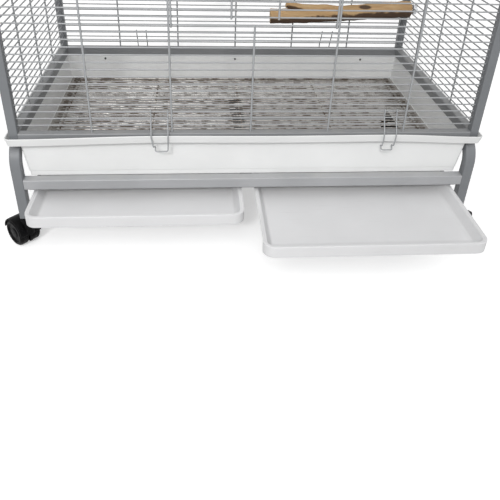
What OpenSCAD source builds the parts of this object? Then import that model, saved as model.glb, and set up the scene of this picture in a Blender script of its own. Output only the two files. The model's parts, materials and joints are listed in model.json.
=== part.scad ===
// Wire flight cage on a castered stand, with a base pan and two pull-out trays.
// Millimetres, +Z up, origin on the floor under the middle of the footprint.

/* [Cage frame] */
// Width over the corner posts
cage_w = 850; // [600:10:1200]
// Depth over the corner posts
cage_d = 480; // [380:10:700]
// Height of the wire cage above the pan's seat
cage_h = 1200; // [700:10:1600]
// Side of the square corner posts, and the thickness of the rails
post_w = 16; // [12:1:24]
// Height of the top and bottom rails
rail_h = 20; // [14:1:30]
// Wall of every steel tube
tube_wall = 1.2; // [0.8:0.1:2]
// Rounding of the tubes' edges
tube_round = 2; // [1:0.5:3]
// Thickness of the caps on the posts
cap_t = 3; // [2:0.5:6]

/* [Wire panels] */
// Spacing of the level wires
wire_pitch = 12.9; // [10:0.1:20]
// Diameter of the level wires
row_wire_d = 2.5; // [2:0.1:3.5]
// Diameter of the upright wires
upright_wire_d = 3.4; // [2.5:0.1:4.5]
// Bays between upright wires across the front, an even number
bays_wide = 6; // [6:2:8]
// Width of the space between a corner post and the nearest upright
end_bay = 127; // [110:1:150]
// Bays between upright wires on each side
bays_deep = 4; // [3:1:6]

/* [Door] */
// Level wire that the door hangs on, counted from the bottom rail
door_hinge_row = 15; // [8:1:30]
// Level wires in the door
door_rows = 21; // [12:1:26]
// Distance of the door's inner uprights from its middle
door_upright_x = 39; // [20:1:60]
// Length of the sprung ends of the door's top wire past its sides
door_ear = 11; // [8:1:18]

/* [Wire clips] */
// Level wire that each base clip hangs on
clip_row = 3; // [3:1:6]
// Width of a clip at its hinge
clip_w = 29; // [20:1:40]
// Width of a clip under the rim
clip_foot_w = 18; // [10:1:19]
// Diameter of the clip wire
clip_wire_d = 2.4; // [2:0.1:3]
// Reach of a clip's finger loop below the rim
clip_pull = 8; // [6:0.5:14]
// Gap between the front left clip and the first upright left of the middle
front_left_clip_gap = 7; // [4:0.5:30]
// Gap between the front right clip and the second upright right of the middle
front_right_clip_gap = 13.5; // [4:0.5:30]
// Gap between each back clip and the second upright from the middle
back_clip_gap = 38.5; // [4:0.5:50]

/* [Base pan] */
// Overhang of the pan's rim past the cage frame
rim_proud = 9; // [6:0.5:14]
// Height of the rim band
rim_h = 16; // [12:1:24]
// Gap between the cage frame and the foot of the leaning rim band
rim_foot_gap = 1.5; // [0.5:0.1:2.4]
// Wall of the pan
pan_wall = 2.5; // [2:0.1:3.5]
// Distance of the pan's wall inside the outer face of the cage frame
pan_inset = 12; // [11:0.5:15]
// Depth of the ledge under the floor grid, from the stand's top
pan_upper_h = 55; // [40:1:58]
// Lean of the pan's wall, inward per millimetre down
pan_lean = 0.1; // [0.05:0.01:0.12]
// Width of the ledge that carries the floor grid
ledge_w = 18; // [17:0.5:22]
// Depth of the funnel below the ledge
funnel_h = 34; // [20:1:36]
// Lean of the funnel, inward per millimetre down
funnel_lean = 0.55; // [0.2:0.05:1]
// Corner radius of the rim
rim_round = 10; // [8:1:20]

/* [Floor grid] */
// Spacing of the grid's long wires
grid_pitch = 12.9; // [10:0.1:20]
// Diameter of the grid's wires
grid_wire_d = 3; // [2.5:0.1:4]
// Distance of the long wires' ends from the pan's wall
grid_gap = 8; // [2:0.5:8]
// Distance of the outer cross wires from the long wires' ends
grid_border = 16; // [10:1:24]
// Height of the lifting tabs over the grid
tab_h = 6; // [4:0.5:20]

/* [Stand] */
// Height of the stand's top above the floor
stand_h = 226; // [200:1:400]
// Side of the square stand tube
stand_tube = 19; // [18:1:20]
// Overhang of the stand's legs past the cage frame on each side
stand_proud = 9; // [9:1:20]
// Radius of the outside of each bend in the stand's side frames
stand_bend = 50; // [40:1:70]
// Side of the square cross rails
stand_rail = 20; // [16:1:22]
// Gap between the stand's top and the top of the cross rails
stand_rail_drop = 73; // [68:1:90]
// Diameter of the screws that hold the cross rails
stand_screw_d = 6; // [5:0.5:8]

/* [Trays] */
// Gap between a tray's lip and the stand's leg
tray_side_gap = 13; // [8:1:20]
// Gap between the two trays
tray_mid_gap = 24; // [16:1:40]
// Height of a tray
tray_h = 22; // [15:1:30]
// Wall of a tray
tray_wall = 2.5; // [1.5:0.1:3.5]
// Width of a tray's lip
tray_lip = 5; // [4:0.5:8]
// Lean of a tray's walls from top to bottom
tray_lean = 9; // [4:1:12]
// Corner radius of a tray's lip
tray_round = 20; // [19:1:30]
// Distance that the left tray stands out in front of the cage
left_tray_out = 78; // [5:1:380]
// Distance that the right tray stands out in front of the cage
right_tray_out = 175; // [5:1:380]
// Gap between the trays' lips and the underside of the cross rails
tray_drop = 8; // [6:1:14]
// Thickness of the folded steel runners
runner_t = 1.5; // [1:0.1:2]
// Width of the runner's foot under a tray's lip
runner_foot = 4.2; // [3:0.1:4.5]

/* [Casters] */
// Diameter of the caster wheels
wheel_d = 55; // [40:1:60]
// Width of each caster wheel
wheel_w = 18; // [14:1:26]
// Height of a caster under the leg's socket
caster_h = 67; // [65:1:80]
// Distance of the axle from the swivel axis
caster_trail = 22; // [14:1:26]
// Thickness of the web between the wheels
web_t = 6; // [5:0.5:10]
// Wall of the hood over the wheels
hood_wall = 2.5; // [2:0.1:4]
// Diameter of the caster stem
stem_d = 8; // [6:0.5:11]
// Length of the caster stem inside the leg
stem_l = 32; // [20:1:45]
// Diameter of the caster axle
axle_d = 6; // [4:0.5:8]
// Turn of the front casters outward from straight ahead
front_caster_turn = 135; // [90:1:180]
// Turn of the back casters outward from straight ahead
back_caster_turn = 20; // [0:1:60]

/* [Perch] */
// Length of the branch perch
perch_l = 335; // [250:5:400]
// Diameter of the branch at its fixed end
perch_d = 38; // [24:1:42]
// Diameter of the branch at its free end
perch_tip_d = 34; // [16:1:38]
// Height of the perch's fixing above the bottom rail
perch_z = 125; // [115:1:600]
// Distance of the perch in front of the cage's back
perch_back = 50; // [45:5:180]
// Fall of the branch from the fixing to its free end, in degrees
perch_fall = 4; // [0:0.5:8]
// Diameter of the perch bolt
perch_bolt_d = 6; // [5:0.5:8]

/* [Hidden] */
$fn = 48;

frame_grey = "#83898c";
pan_white = "#ececec";
wire_grey = "#a4a7aa";
grid_steel = "#8d8a84";
hard_black = "#151515";
zinc = "#b9bcc0";
wood = "#b58f5e";

run_gap = 0.3;      // between pieces that move past each other
weld_gap = 0.05;    // between welded wires, which touch on the real panel
shaft_gap = 0.05;   // around a shaft in its bore
cut = 1;            // overrun of a cutting tool
plug_l = 26;        // rail end plugs
screw_l = stand_tube + plug_l - 2;
screw_head_h = 3.2; // countersunk heads
hex_h = 2;          // depth of a head's hexagon socket
hex_share = 0.66;   // socket's width, as a share of the screw's
lip_play = 0.8;     // between a tray's lip and a runner's web
runner_h = 11;      // web of a runner
runner_tab_h = 24;  // end tab of a runner
runner_tab_w = 10;
socket_end = 3;     // closed end of a leg socket
boss_d = 24;        // boss round a caster's stem
hood_skirt = 3;     // hood's lower edge over the axle
web_clear = 9;      // web's lower edge over the floor
axle_grip = 13;     // axle's length in each wheel
least_round = 4;    // least corner radius of the pan and the trays
stud_share = 0.79;  // outer studs' place along the back wall
cap_plug_l = 10;
clip_snap = 1.4;    // room under the rim over a clip's kink
tab_w = 16;         // grid tab's width at its foot
tab_top = 0.13;     // its top's width, as a share of the foot's
tab_in = 10;        // its middle's distance from the long wires' ends
tab_wire_r = 1.2;
perch_bolt_l = 32;  // bolt's length in the branch
bolt_end = 3;       // bolt's length past the wing nut
washer_d = 22;
washer_t = 1.6;
nut_h = 7;
wing_l = 7;
wing_t = 2;

// Levels, from the floor up
pan_floor_z = stand_h + pan_wall;
cage_z = pan_floor_z;
rail_top = cage_z + rail_h;
cage_top = cage_z + cage_h;
roof_z = cage_top - rail_h;
rim_top = stand_h + rim_h;
ledge_z = stand_h - pan_upper_h;
stand_rail_top = stand_h - stand_rail_drop;
stand_rail_z = stand_rail_top - stand_rail;
lip_top = stand_rail_z - tray_drop;
lip_z = lip_top - tray_wall;
tray_z = lip_top - tray_h;
socket_flange_t = 2;
leg_z = caster_h + socket_flange_t;

// Half sizes and widths, seen from above
half_w = cage_w / 2;
post_in = half_w - post_w;
leg_x = half_w + stand_proud - stand_tube / 2;
leg_in = half_w + stand_proud - stand_tube;
tray_w = leg_in - tray_side_gap - tray_mid_gap / 2;
tray_x = (tray_w + tray_mid_gap) / 2;
rim_w = cage_w + 2 * rim_proud;
rim_d = cage_d + 2 * rim_proud;

// Depths, counted from the front face of the cage
back_in = cage_d - post_w;
leg_y = stand_tube / 2;
tray_l = cage_d - 2 * stand_rail;
clip_face = rim_proud + run_gap + clip_wire_d;
front_y = (right_tray_out - cage_d - clip_face) / 2;

// Wires
row_count = round((roof_z - rail_top) / wire_pitch) - 1;
row_step = (roof_z - rail_top) / (row_count + 1);
bay = (post_in - end_bay) / (bays_wide / 2 - 1);
bay_deep = (back_in - post_w) / bays_deep;
upright_y = post_w / 2 - 1.5;
wire_offset = (upright_wire_d + row_wire_d) / 2 + weld_gap;
row_y = upright_y + wire_offset;
door_top_row = door_hinge_row + door_rows;
door_side_x = bay - upright_wire_d - 2 * run_gap;
curl_r = (upright_wire_d + row_wire_d) / 2 + run_gap;
door_y = row_y - curl_r;
door_bar_y = door_y - curl_r;
split_low = row_z(door_hinge_row) + row_step / 2;
split_high = row_z(door_top_row) + row_step / 2;
front_left_clip_x = -bay - front_left_clip_gap - clip_w / 2;
front_right_clip_x = 2 * bay - front_right_clip_gap - clip_w / 2;
back_clip_x = 2 * bay - back_clip_gap - clip_w / 2;
side_ks = [for (k = [1 - bays_wide / 2:bays_wide / 2 - 1]) if (k != 0) k];
function row_z(n) = rail_top + n * row_step;

// Perch, fixed between two level wires of the right panel
perch_row = round((perch_z - rail_h) / row_step - 0.5);
perch_axis_z = row_z(perch_row) + row_step / 2;
perch_y = cage_d - perch_back;
perch_x = half_w - row_y - row_wire_d / 2 - weld_gap - washer_t;
panel_out_x = half_w - upright_y + upright_wire_d / 2 + weld_gap;

// Base pan: insets from the rim's outer edge, and the half sizes inside the upper wall
rim_lean = rim_proud - pan_wall - rim_foot_gap;
wall_in = rim_proud + pan_inset;
ledge_out = wall_in + pan_lean * pan_upper_h;
ledge_in = ledge_out + pan_wall + ledge_w;
funnel_z = ledge_z - pan_wall - funnel_h;
funnel_in = ledge_in - pan_wall + funnel_lean * funnel_h;
foot_z = stand_rail_top + run_gap;
foot_out = wall_in + pan_lean * (stand_h - foot_z);
pan_in_x = rim_w / 2 - ledge_out - pan_wall;
pan_in_y = rim_proud - ledge_out - pan_wall;
grid_z = ledge_z + grid_wire_d / 2 + weld_gap;
cross_z = grid_z - grid_wire_d - weld_gap;

// Casters
wheel_r = wheel_d / 2;
hood_in = wheel_r + 1.2;
hood_r = hood_in + hood_wall;
wheel_gap = 0.6;
hood_w = web_t + 2 * (wheel_w + wheel_gap);
CASTERS = [
    [-leg_x, leg_y, front_caster_turn],
    [leg_x, leg_y, 180 - front_caster_turn],
    [-leg_x, cage_d - leg_y, 270 - back_caster_turn],
    [leg_x, cage_d - leg_y, 270 + back_caster_turn]
];

// Places anything drawn from the cage's front face in the part's own frame.
module seat() {
    translate([0, front_y, 0]) children();
}

// Points of a rectangle with rounded corners, centred on the origin.
function rounded(w, d, r, steps = 4) = [
    for (corner = [0:3]) for (i = [0:steps])
        let (a = 90 * corner + 90 * i / steps,
             sx = corner == 0 || corner == 3 ? 1 : -1,
             sy = corner < 2 ? 1 : -1)
        [sx * (w / 2 - r) + r * cos(a), sy * (d / 2 - r) + r * sin(a)]
];

// Cross-section of a tube with rounded edges.
module tube_section(w, d) {
    difference() {
        polygon(rounded(w, d, tube_round));
        polygon(rounded(w - 2 * tube_wall, d - 2 * tube_wall, tube_round - tube_wall / 2));
    }
}

// Straight tube from a point along +X, +Y or +Z, with w across and h up.
module tube_x(x0, x1, y, z, w, h) {
    translate([x0, y, z]) rotate([90, 0, 90]) linear_extrude(x1 - x0) tube_section(w, h);
}
module tube_y(y0, y1, x, z, w, h) {
    translate([x, y1, z]) rotate([90, 0, 0]) linear_extrude(y1 - y0) tube_section(w, h);
}
module tube_z(z0, z1, x, y, w) {
    translate([x, y, z0]) linear_extrude(z1 - z0) tube_section(w, w);
}

// Straight wires.
module wire_x(x0, x1, y, z, d) {
    translate([x0, y, z]) rotate([0, 90, 0]) cylinder(d = d, h = x1 - x0, $fn = 16);
}
module wire_y(y0, y1, x, z, d) {
    translate([x, y0, z]) rotate([-90, 0, 0]) cylinder(d = d, h = y1 - y0, $fn = 16);
}
module wire_z(z0, z1, x, y, d) {
    translate([x, y, z0]) cylinder(d = d, h = z1 - z0, $fn = 16);
}

// Wire or branch swept along points, with one radius for each point.
function unit(v) = v / norm(v);
function heading(p, i) = unit(
    (i < len(p) - 1 ? unit(p[i + 1] - p[i]) : [0, 0, 0])
    + (i > 0 ? unit(p[i] - p[i - 1]) : [0, 0, 0]));
function carried(p, side, i = 0) = i == len(p) ? [] :
    let (t = heading(p, i), n = unit(side - t * (side * t)))
    concat([n], carried(p, n, i + 1));
module swept(p, radii, side, sides) {
    last = len(p) - 1;
    normals = carried(p, side);
    points = [
        for (i = [0:last]) for (k = [0:sides - 1])
            let (t = heading(p, i), n = normals[i], b = cross(t, n), a = 360 * k / sides)
            p[i] + radii[i] * (cos(a) * n + sin(a) * b)
    ];
    faces = concat(
        [[for (k = [0:sides - 1]) k]],
        [for (i = [0:last - 1]) for (k = [0:sides - 1]) let (m = (k + 1) % sides)
            [i * sides + k, (i + 1) * sides + k, (i + 1) * sides + m]],
        [for (i = [0:last - 1]) for (k = [0:sides - 1]) let (m = (k + 1) % sides)
            [i * sides + k, (i + 1) * sides + m, i * sides + m]],
        [[for (k = [0:sides - 1]) last * sides + sides - 1 - k]]);
    polyhedron(points, faces);
}

// Rings of a rounded rectangle, each [inset, z], stacked into one solid. Their corners
// share a centre down to the least radius. A looped stack closes on itself as a wall, and
// any other has a flat face at each end.
module ring_stack(rings, w, d, r, looped) {
    steps = 5;
    per = 4 * (steps + 1);
    points = [
        for (ring = rings)
            let (corner = max(r - ring[0], least_round))
            for (q = rounded(w - 2 * ring[0], d - 2 * ring[0], corner, steps))
                [q[0], q[1], ring[1]]
    ];
    count = len(rings);
    last = looped ? count - 1 : count - 2;
    faces = concat(
        [for (i = [0:last]) for (k = [0:per - 1])
            let (j = (i + 1) % count, m = (k + 1) % per)
            [i * per + k, j * per + k, j * per + m]],
        [for (i = [0:last]) for (k = [0:per - 1])
            let (j = (i + 1) % count, m = (k + 1) % per)
            [i * per + k, j * per + m, i * per + m]],
        looped ? [] : [
            [for (k = [0:per - 1]) k],
            [for (k = [0:per - 1]) (count - 1) * per + per - 1 - k]
        ]);
    polyhedron(points, faces);
}

// Bent square tube: two legs and a level run, with holes for the rail screws.
module stand_frame(side) {
    middle = stand_bend - stand_tube / 2;
    bend_z = stand_h - stand_bend;
    color(frame_grey) seat() difference() {
        union() {
            for (y = [leg_y, cage_d - leg_y])
                tube_z(leg_z, bend_z, side * leg_x, y, stand_tube);
            tube_y(stand_bend, cage_d - stand_bend, side * leg_x, stand_h - stand_tube / 2,
                stand_tube, stand_tube);
            for (bend = [[stand_bend, 90], [cage_d - stand_bend, 0]])
                translate([side * leg_x, bend[0], bend_z]) rotate([90, 0, 90])
                    rotate(bend[1]) rotate_extrude(angle = 90) translate([middle, 0])
                        tube_section(stand_tube, stand_tube);
        }
        for (y = [stand_rail / 2, cage_d - stand_rail / 2])
            translate([side * leg_in, y, stand_rail_top - stand_rail / 2])
                rotate([0, side * 90, 0]) screw_space();
    }
}
module stand_left_frame() { stand_frame(-1); }
module stand_right_frame() { stand_frame(1); }

// Space that a rail screw takes in the leg, from the leg's inner face outward.
module screw_space() {
    translate([0, 0, -cut])
        cylinder(d = stand_screw_d + 2 * shaft_gap, h = stand_tube + 2 * cut);
    translate([0, 0, stand_tube - screw_head_h - shaft_gap])
        cylinder(d1 = stand_screw_d, d2 = 2 * stand_screw_d + 4 * shaft_gap,
            h = screw_head_h + shaft_gap);
}

// Square cross rails between the legs.
module stand_rail_at(y) {
    color(frame_grey) seat()
        tube_x(-leg_in, leg_in, y, stand_rail_top - stand_rail / 2, stand_rail, stand_rail);
}
module stand_front_rail() { stand_rail_at(stand_rail / 2); }
module stand_back_rail() { stand_rail_at(cage_d - stand_rail / 2); }

// Plugs in the ends of the cross rails, which the screws turn into.
module rail_end_plugs() {
    side = stand_rail - 2 * tube_wall - 2 * run_gap;
    color(hard_black) seat()
        for (x = [-1, 1]) for (y = [stand_rail / 2, cage_d - stand_rail / 2])
            translate([x * (leg_in - plug_l), y, stand_rail_top - stand_rail / 2])
                rotate([0, x * 90, 0]) difference() {
                    linear_extrude(plug_l) polygon(rounded(side, side, tube_round / 2));
                    translate([0, 0, -cut])
                        cylinder(d = stand_screw_d + 2 * shaft_gap, h = plug_l + 2 * cut);
                }
}

// Countersunk screws through the legs into the plugs.
module stand_screws() {
    color(zinc) seat()
        for (x = [-1, 1]) for (y = [stand_rail / 2, cage_d - stand_rail / 2])
            translate([x * (leg_in + stand_tube - screw_l), y, stand_rail_top - stand_rail / 2])
                rotate([0, x * 90, 0]) difference() {
                    union() {
                        cylinder(d = stand_screw_d, h = screw_l - screw_head_h);
                        translate([0, 0, screw_l - screw_head_h])
                            cylinder(d1 = stand_screw_d, d2 = 2 * stand_screw_d,
                                h = screw_head_h);
                    }
                    translate([0, 0, screw_l - hex_h])
                        cylinder(d = stand_screw_d * hex_share, h = hex_h + cut, $fn = 6);
                }
}

// Folded runners under the cross rails: a foot for each tray lip that it carries,
// and a tab at each end on the rail's inner face.
module runner(feet, tab) {
    foot_top = lip_z - run_gap;
    low = foot_top - runner_t;
    color(frame_grey) seat() {
        translate([0, cage_d - stand_rail, 0]) rotate([90, 0, 0])
            linear_extrude(cage_d - 2 * stand_rail) {
                translate([feet[0], low]) square([feet[1] - feet[0], runner_t]);
                translate([tab[2], low]) square([runner_t, runner_h]);
            }
        for (y = [stand_rail, cage_d - stand_rail - runner_t])
            translate([tab[0], y, low]) cube([tab[1] - tab[0], runner_t, runner_tab_h]);
    }
}
module side_runner(side) {
    web = tray_x + tray_w / 2 + lip_play;
    inner = web - lip_play - runner_foot;
    outer = web + runner_tab_w;
    mirror([side < 0 ? 1 : 0, 0, 0]) runner([inner, web + runner_t], [web, outer, web]);
}
module left_tray_runner() { side_runner(-1); }
module right_tray_runner() { side_runner(1); }
module centre_tray_runner() {
    reach = tray_mid_gap / 2 + runner_foot;
    runner([-reach, reach], [-runner_tab_w, runner_tab_w, -runner_t / 2]);
}

// Plugs in the leg ends, bored for the caster stems.
module leg_sockets() {
    side = stand_tube - 2 * tube_wall - 2 * run_gap;
    color(hard_black) seat() for (c = CASTERS)
        translate([c[0], c[1], caster_h]) difference() {
            union() {
                linear_extrude(socket_flange_t)
                    polygon(rounded(stand_tube, stand_tube, tube_round));
                linear_extrude(socket_flange_t + stem_l + socket_end)
                    polygon(rounded(side, side, tube_round / 2));
            }
            translate([0, 0, -cut])
                cylinder(d = stem_d + 2 * shaft_gap, h = stem_l + cut + run_gap);
        }
}

// Swivel casters. Each is drawn with its swivel axis on Z and its trail along +X.
module at_caster(i) {
    seat() translate([CASTERS[i][0], CASTERS[i][1], 0]) rotate(CASTERS[i][2]) children();
}
module on_axle() {
    translate([caster_trail, 0, wheel_r]) rotate([90, 0, 0]) children();
}
module caster_housing(i) {
    top = caster_h - run_gap;
    color(hard_black) at_caster(i) {
        difference() {
            union() {
                on_axle() cylinder(r = hood_r, h = hood_w, center = true);
                translate([0, 0, wheel_r]) cylinder(d = boss_d, h = top - wheel_r);
            }
            on_axle() cylinder(r = hood_in, h = hood_w + 2 * cut, center = true);
            translate([caster_trail - wheel_d, -wheel_d, -wheel_d])
                cube([2 * wheel_d, 2 * wheel_d, wheel_d + wheel_r + hood_skirt]);
        }
        difference() {
            on_axle() cylinder(r = hood_in + hood_wall / 2, h = web_t, center = true);
            on_axle() cylinder(d = axle_d + 2 * shaft_gap, h = 2 * web_t, center = true);
            translate([caster_trail - wheel_d, -wheel_d, -wheel_d])
                cube([2 * wheel_d, 2 * wheel_d, wheel_d + web_clear]);
        }
        translate([0, 0, top - cut]) cylinder(d = stem_d, h = stem_l + cut);
    }
}
module caster_wheels(i) {
    edge = 3;
    dish_r = wheel_r * 0.72;
    dish = 2.5;
    profile = concat(
        [[0, 0]],
        [for (a = [0:30:90]) [wheel_r - edge + edge * sin(a), edge - edge * cos(a)]],
        [for (a = [0:30:90]) [wheel_r - edge + edge * cos(a), wheel_w - edge + edge * sin(a)]],
        [[dish_r, wheel_w], [dish_r - dish, wheel_w - dish], [0, wheel_w - dish]]);
    color(hard_black) at_caster(i) on_axle() for (side = [-1, 1])
        rotate([side < 0 ? 180 : 0, 0, 0]) translate([0, 0, web_t / 2 + wheel_gap])
            difference() {
                rotate_extrude() polygon(profile);
                translate([0, 0, -cut])
                    cylinder(d = axle_d + shaft_gap, h = axle_grip + cut);
            }
}
module caster_axle(i) {
    color(zinc) at_caster(i) on_axle()
        cylinder(d = axle_d, h = web_t + 2 * (wheel_gap + axle_grip) - 2 * run_gap,
            center = true);
}
module front_left_caster_housing() { caster_housing(0); }
module front_left_caster_wheels() { caster_wheels(0); }
module front_left_caster_axle() { caster_axle(0); }
module front_right_caster_housing() { caster_housing(1); }
module front_right_caster_wheels() { caster_wheels(1); }
module front_right_caster_axle() { caster_axle(1); }
module back_left_caster_housing() { caster_housing(2); }
module back_left_caster_wheels() { caster_wheels(2); }
module back_left_caster_axle() { caster_axle(2); }
module back_right_caster_housing() { caster_housing(3); }
module back_right_caster_wheels() { caster_wheels(3); }
module back_right_caster_axle() { caster_axle(3); }

// Moulded pan: a leaning rim band and a flange that the cage stands in, a wall down to the
// stand's cross rails, a ledge for the floor grid, and a funnel that is open over the trays.
module base_pan() {
    rings = [
        [0, rim_top],
        [rim_lean, stand_h],
        [wall_in, stand_h],
        [foot_out, foot_z],
        [foot_out + pan_wall, foot_z],
        [ledge_out + pan_wall, ledge_z - pan_wall],
        [ledge_in - pan_wall, ledge_z - pan_wall],
        [funnel_in, funnel_z],
        [funnel_in + pan_wall, funnel_z],
        [ledge_in, ledge_z - pan_wall],
        [ledge_in, ledge_z],
        [ledge_out + pan_wall, ledge_z],
        [wall_in + pan_wall, pan_floor_z],
        [rim_lean + pan_wall, pan_floor_z],
        [pan_wall, rim_top]
    ];
    color(pan_white) seat() translate([0, cage_d / 2, 0])
        ring_stack(rings, rim_w, rim_d, rim_round, true);
}

// Three small studs on the inside of the pan's back wall, square to its face.
module pan_studs() {
    stud_d = 5;
    stud_h = 1.6;
    drop = 8.5; // from the rim's seat to a stud's middle
    slope = (ledge_out - wall_in) / (pan_floor_z - ledge_z);
    back = rim_d - rim_proud - wall_in - pan_wall - slope * drop;
    color(hard_black) seat() for (x = [-1, 0, 1])
        translate([x * stud_share * pan_in_x, back, pan_floor_z - drop])
            rotate([90 - atan(slope), 0, 0]) translate([0, 0, weld_gap])
                cylinder(d = stud_d, h = stud_h);
}

// Loose wire floor on the pan's ledge, with a bent lifting tab at each back corner.
module floor_grid() {
    half = pan_in_x - grid_gap;
    y0 = -pan_in_y + grid_gap + grid_wire_d / 2;
    y1 = cage_d - y0;
    count = round((y1 - y0) / grid_pitch);
    cross_y = ledge_in - rim_proud + grid_wire_d / 2;
    outer = half - grid_border;
    tab_y = y1 - grid_wire_d - weld_gap;
    color(grid_steel) seat() {
        for (i = [0:count]) wire_x(-half, half, y0 + (y1 - y0) * i / count, grid_z, grid_wire_d);
        for (k = [-2:2])
            wire_y(cross_y, cage_d - cross_y, k * outer / 2, cross_z, grid_wire_d);
        for (side = [-1, 1]) {
            path = [
                for (q = [[-1, 0], [-tab_top, tab_h], [tab_top, tab_h], [1, 0]])
                    [side * (half - tab_in) + q[0] * tab_w / 2, tab_y, grid_z + q[1]]
            ];
            swept(path, [for (p = path) tab_wire_r], [0, 1, 0], 8);
        }
    }
}

// Shallow trays, hung by their lips on the runners. An apron hangs from the front lip and
// follows it round the corners.
module tray_outline(inset) {
    polygon(rounded(tray_w - 2 * inset, tray_l - 2 * inset, tray_round - inset));
}
module tray_apron() {
    inset = 0.3;
    translate([0, 0, tray_z]) linear_extrude(lip_z - tray_z + tray_wall / 2) difference() {
        tray_outline(inset);
        tray_outline(inset + tray_wall);
        translate([-tray_w, tray_round - tray_l / 2]) square([2 * tray_w, tray_l]);
    }
}
module tray(side, out) {
    rings = [
        [tray_lip + tray_lean, tray_z],
        [tray_lip, lip_z],
        [0, lip_z],
        [0, lip_top],
        [tray_lip + tray_wall, lip_top],
        [tray_lip + tray_lean + tray_wall, tray_z + tray_wall]
    ];
    color(pan_white) seat() translate([side * tray_x, tray_l / 2 - out, 0]) {
        ring_stack(rings, tray_w, tray_l, tray_round, false);
        tray_apron();
    }
}
module left_tray() { tray(-1, left_tray_out); }
module right_tray() { tray(1, right_tray_out); }

// Corner posts and rails of the cage.
module post(side, y) {
    color(frame_grey) seat() tube_z(cage_z, cage_top, side * (half_w - post_w / 2), y, post_w);
}
module front_left_post() { post(-1, post_w / 2); }
module front_right_post() { post(1, post_w / 2); }
module back_left_post() { post(-1, cage_d - post_w / 2); }
module back_right_post() { post(1, cage_d - post_w / 2); }
module long_rail(y, z) {
    color(frame_grey) seat() tube_x(-post_in, post_in, y, z + rail_h / 2, post_w, rail_h);
}
module short_rail(side, z) {
    color(frame_grey) seat()
        tube_y(post_w, back_in, side * (half_w - post_w / 2), z + rail_h / 2, post_w, rail_h);
}
module front_bottom_rail() { long_rail(post_w / 2, cage_z); }
module back_bottom_rail() { long_rail(cage_d - post_w / 2, cage_z); }
module left_bottom_rail() { short_rail(-1, cage_z); }
module right_bottom_rail() { short_rail(1, cage_z); }
module front_top_rail() { long_rail(post_w / 2, roof_z); }
module back_top_rail() { long_rail(cage_d - post_w / 2, roof_z); }
module left_top_rail() { short_rail(-1, roof_z); }
module right_top_rail() { short_rail(1, roof_z); }

// Caps pushed into the tops of the posts.
module post_caps() {
    side = post_w - 2 * tube_wall - 2 * run_gap;
    color(hard_black) seat()
        for (x = [-1, 1]) for (y = [post_w / 2, cage_d - post_w / 2])
            translate([x * (half_w - post_w / 2), y, cage_top]) {
                linear_extrude(cap_t) polygon(rounded(post_w, post_w, tube_round));
                translate([0, 0, -cap_plug_l]) linear_extrude(cap_plug_l + cut)
                    polygon(rounded(side, side, tube_round / 2));
            }
}

// Welded wire panels: level wires behind, uprights in front.
module rows(first, last, x0, x1) {
    for (n = [first:last]) wire_x(x0, x1, row_y, row_z(n), row_wire_d);
}
module uprights(ks, z0, z1) {
    for (k = ks) wire_z(z0, z1, k * bay, upright_y, upright_wire_d);
}
module front_panel_lower() {
    color(wire_grey) seat() {
        rows(1, door_hinge_row, -post_in, post_in);
        uprights(side_ks, rail_top, split_low);
        uprights([0], rail_top, row_z(door_hinge_row));
    }
}
module front_strip(side) {
    inner = bay - upright_wire_d / 2;
    color(wire_grey) seat() mirror([side < 0 ? 1 : 0, 0, 0]) {
        rows(door_hinge_row + 1, door_top_row, inner, post_in);
        uprights([for (k = side_ks) if (k > 0) k], split_low, split_high);
    }
}
module front_panel_left() { front_strip(-1); }
module front_panel_right() { front_strip(1); }
module front_panel_upper() {
    color(wire_grey) seat() {
        rows(door_top_row + 1, row_count, -post_in, post_in);
        uprights(side_ks, split_high, roof_z);
        uprights([0], row_z(door_top_row + 1), roof_z);
    }
}
module back_panel() {
    color(wire_grey) seat() translate([0, cage_d, 0]) mirror([0, 1, 0]) {
        rows(1, row_count, -post_in, post_in);
        uprights([for (k = [1 - bays_wide / 2:bays_wide / 2 - 1]) k], rail_top, roof_z);
    }
}
module side_panel(side) {
    color(wire_grey) seat() {
        for (n = [1:row_count])
            wire_y(post_w, back_in, side * (half_w - row_y), row_z(n), row_wire_d);
        for (k = [1:bays_deep - 1])
            wire_z(rail_top, roof_z, side * (half_w - upright_y), post_w + k * bay_deep,
                upright_wire_d);
    }
}
module left_panel() { side_panel(-1); }
module right_panel() { side_panel(1); }
module roof_panel() {
    count = round((back_in - post_w) / wire_pitch);
    step = (back_in - post_w) / count;
    z = cage_top - row_y;
    color(wire_grey) seat() {
        for (i = [1:count - 1]) wire_x(-post_in, post_in, post_w + i * step, z, row_wire_d);
        for (k = [1 - bays_wide / 2:bays_wide / 2 - 1])
            wire_y(post_w, back_in, k * bay, z + wire_offset, upright_wire_d);
    }
}

// Drop-down wire door. Its side wires curl round the hinge wire of the panel, and its top
// wire's ends snap over the uprights beside the doorway.
module main_door() {
    low = row_z(door_hinge_row + 1) - row_wire_d;
    high = row_z(door_top_row) + row_wire_d;
    color(wire_grey) seat() {
        for (n = [door_hinge_row + 1:door_top_row])
            wire_x(-door_side_x - 1, door_side_x + 1, row_y, row_z(n), row_wire_d);
        for (x = [-door_upright_x, door_upright_x]) wire_z(low, high, x, door_y, upright_wire_d);
        for (x = [-door_side_x, door_side_x]) {
            wire_z(row_z(door_hinge_row), high, x, door_y, upright_wire_d);
            translate([x, row_y, row_z(door_hinge_row)]) rotate([90, 0, 90]) rotate(180)
                rotate_extrude(angle = 250) translate([curl_r, 0])
                    circle(d = upright_wire_d, $fn = 16);
        }
        wire_x(-bay - door_ear, bay + door_ear, door_bar_y, row_z(door_top_row), row_wire_d);
    }
}

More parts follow.
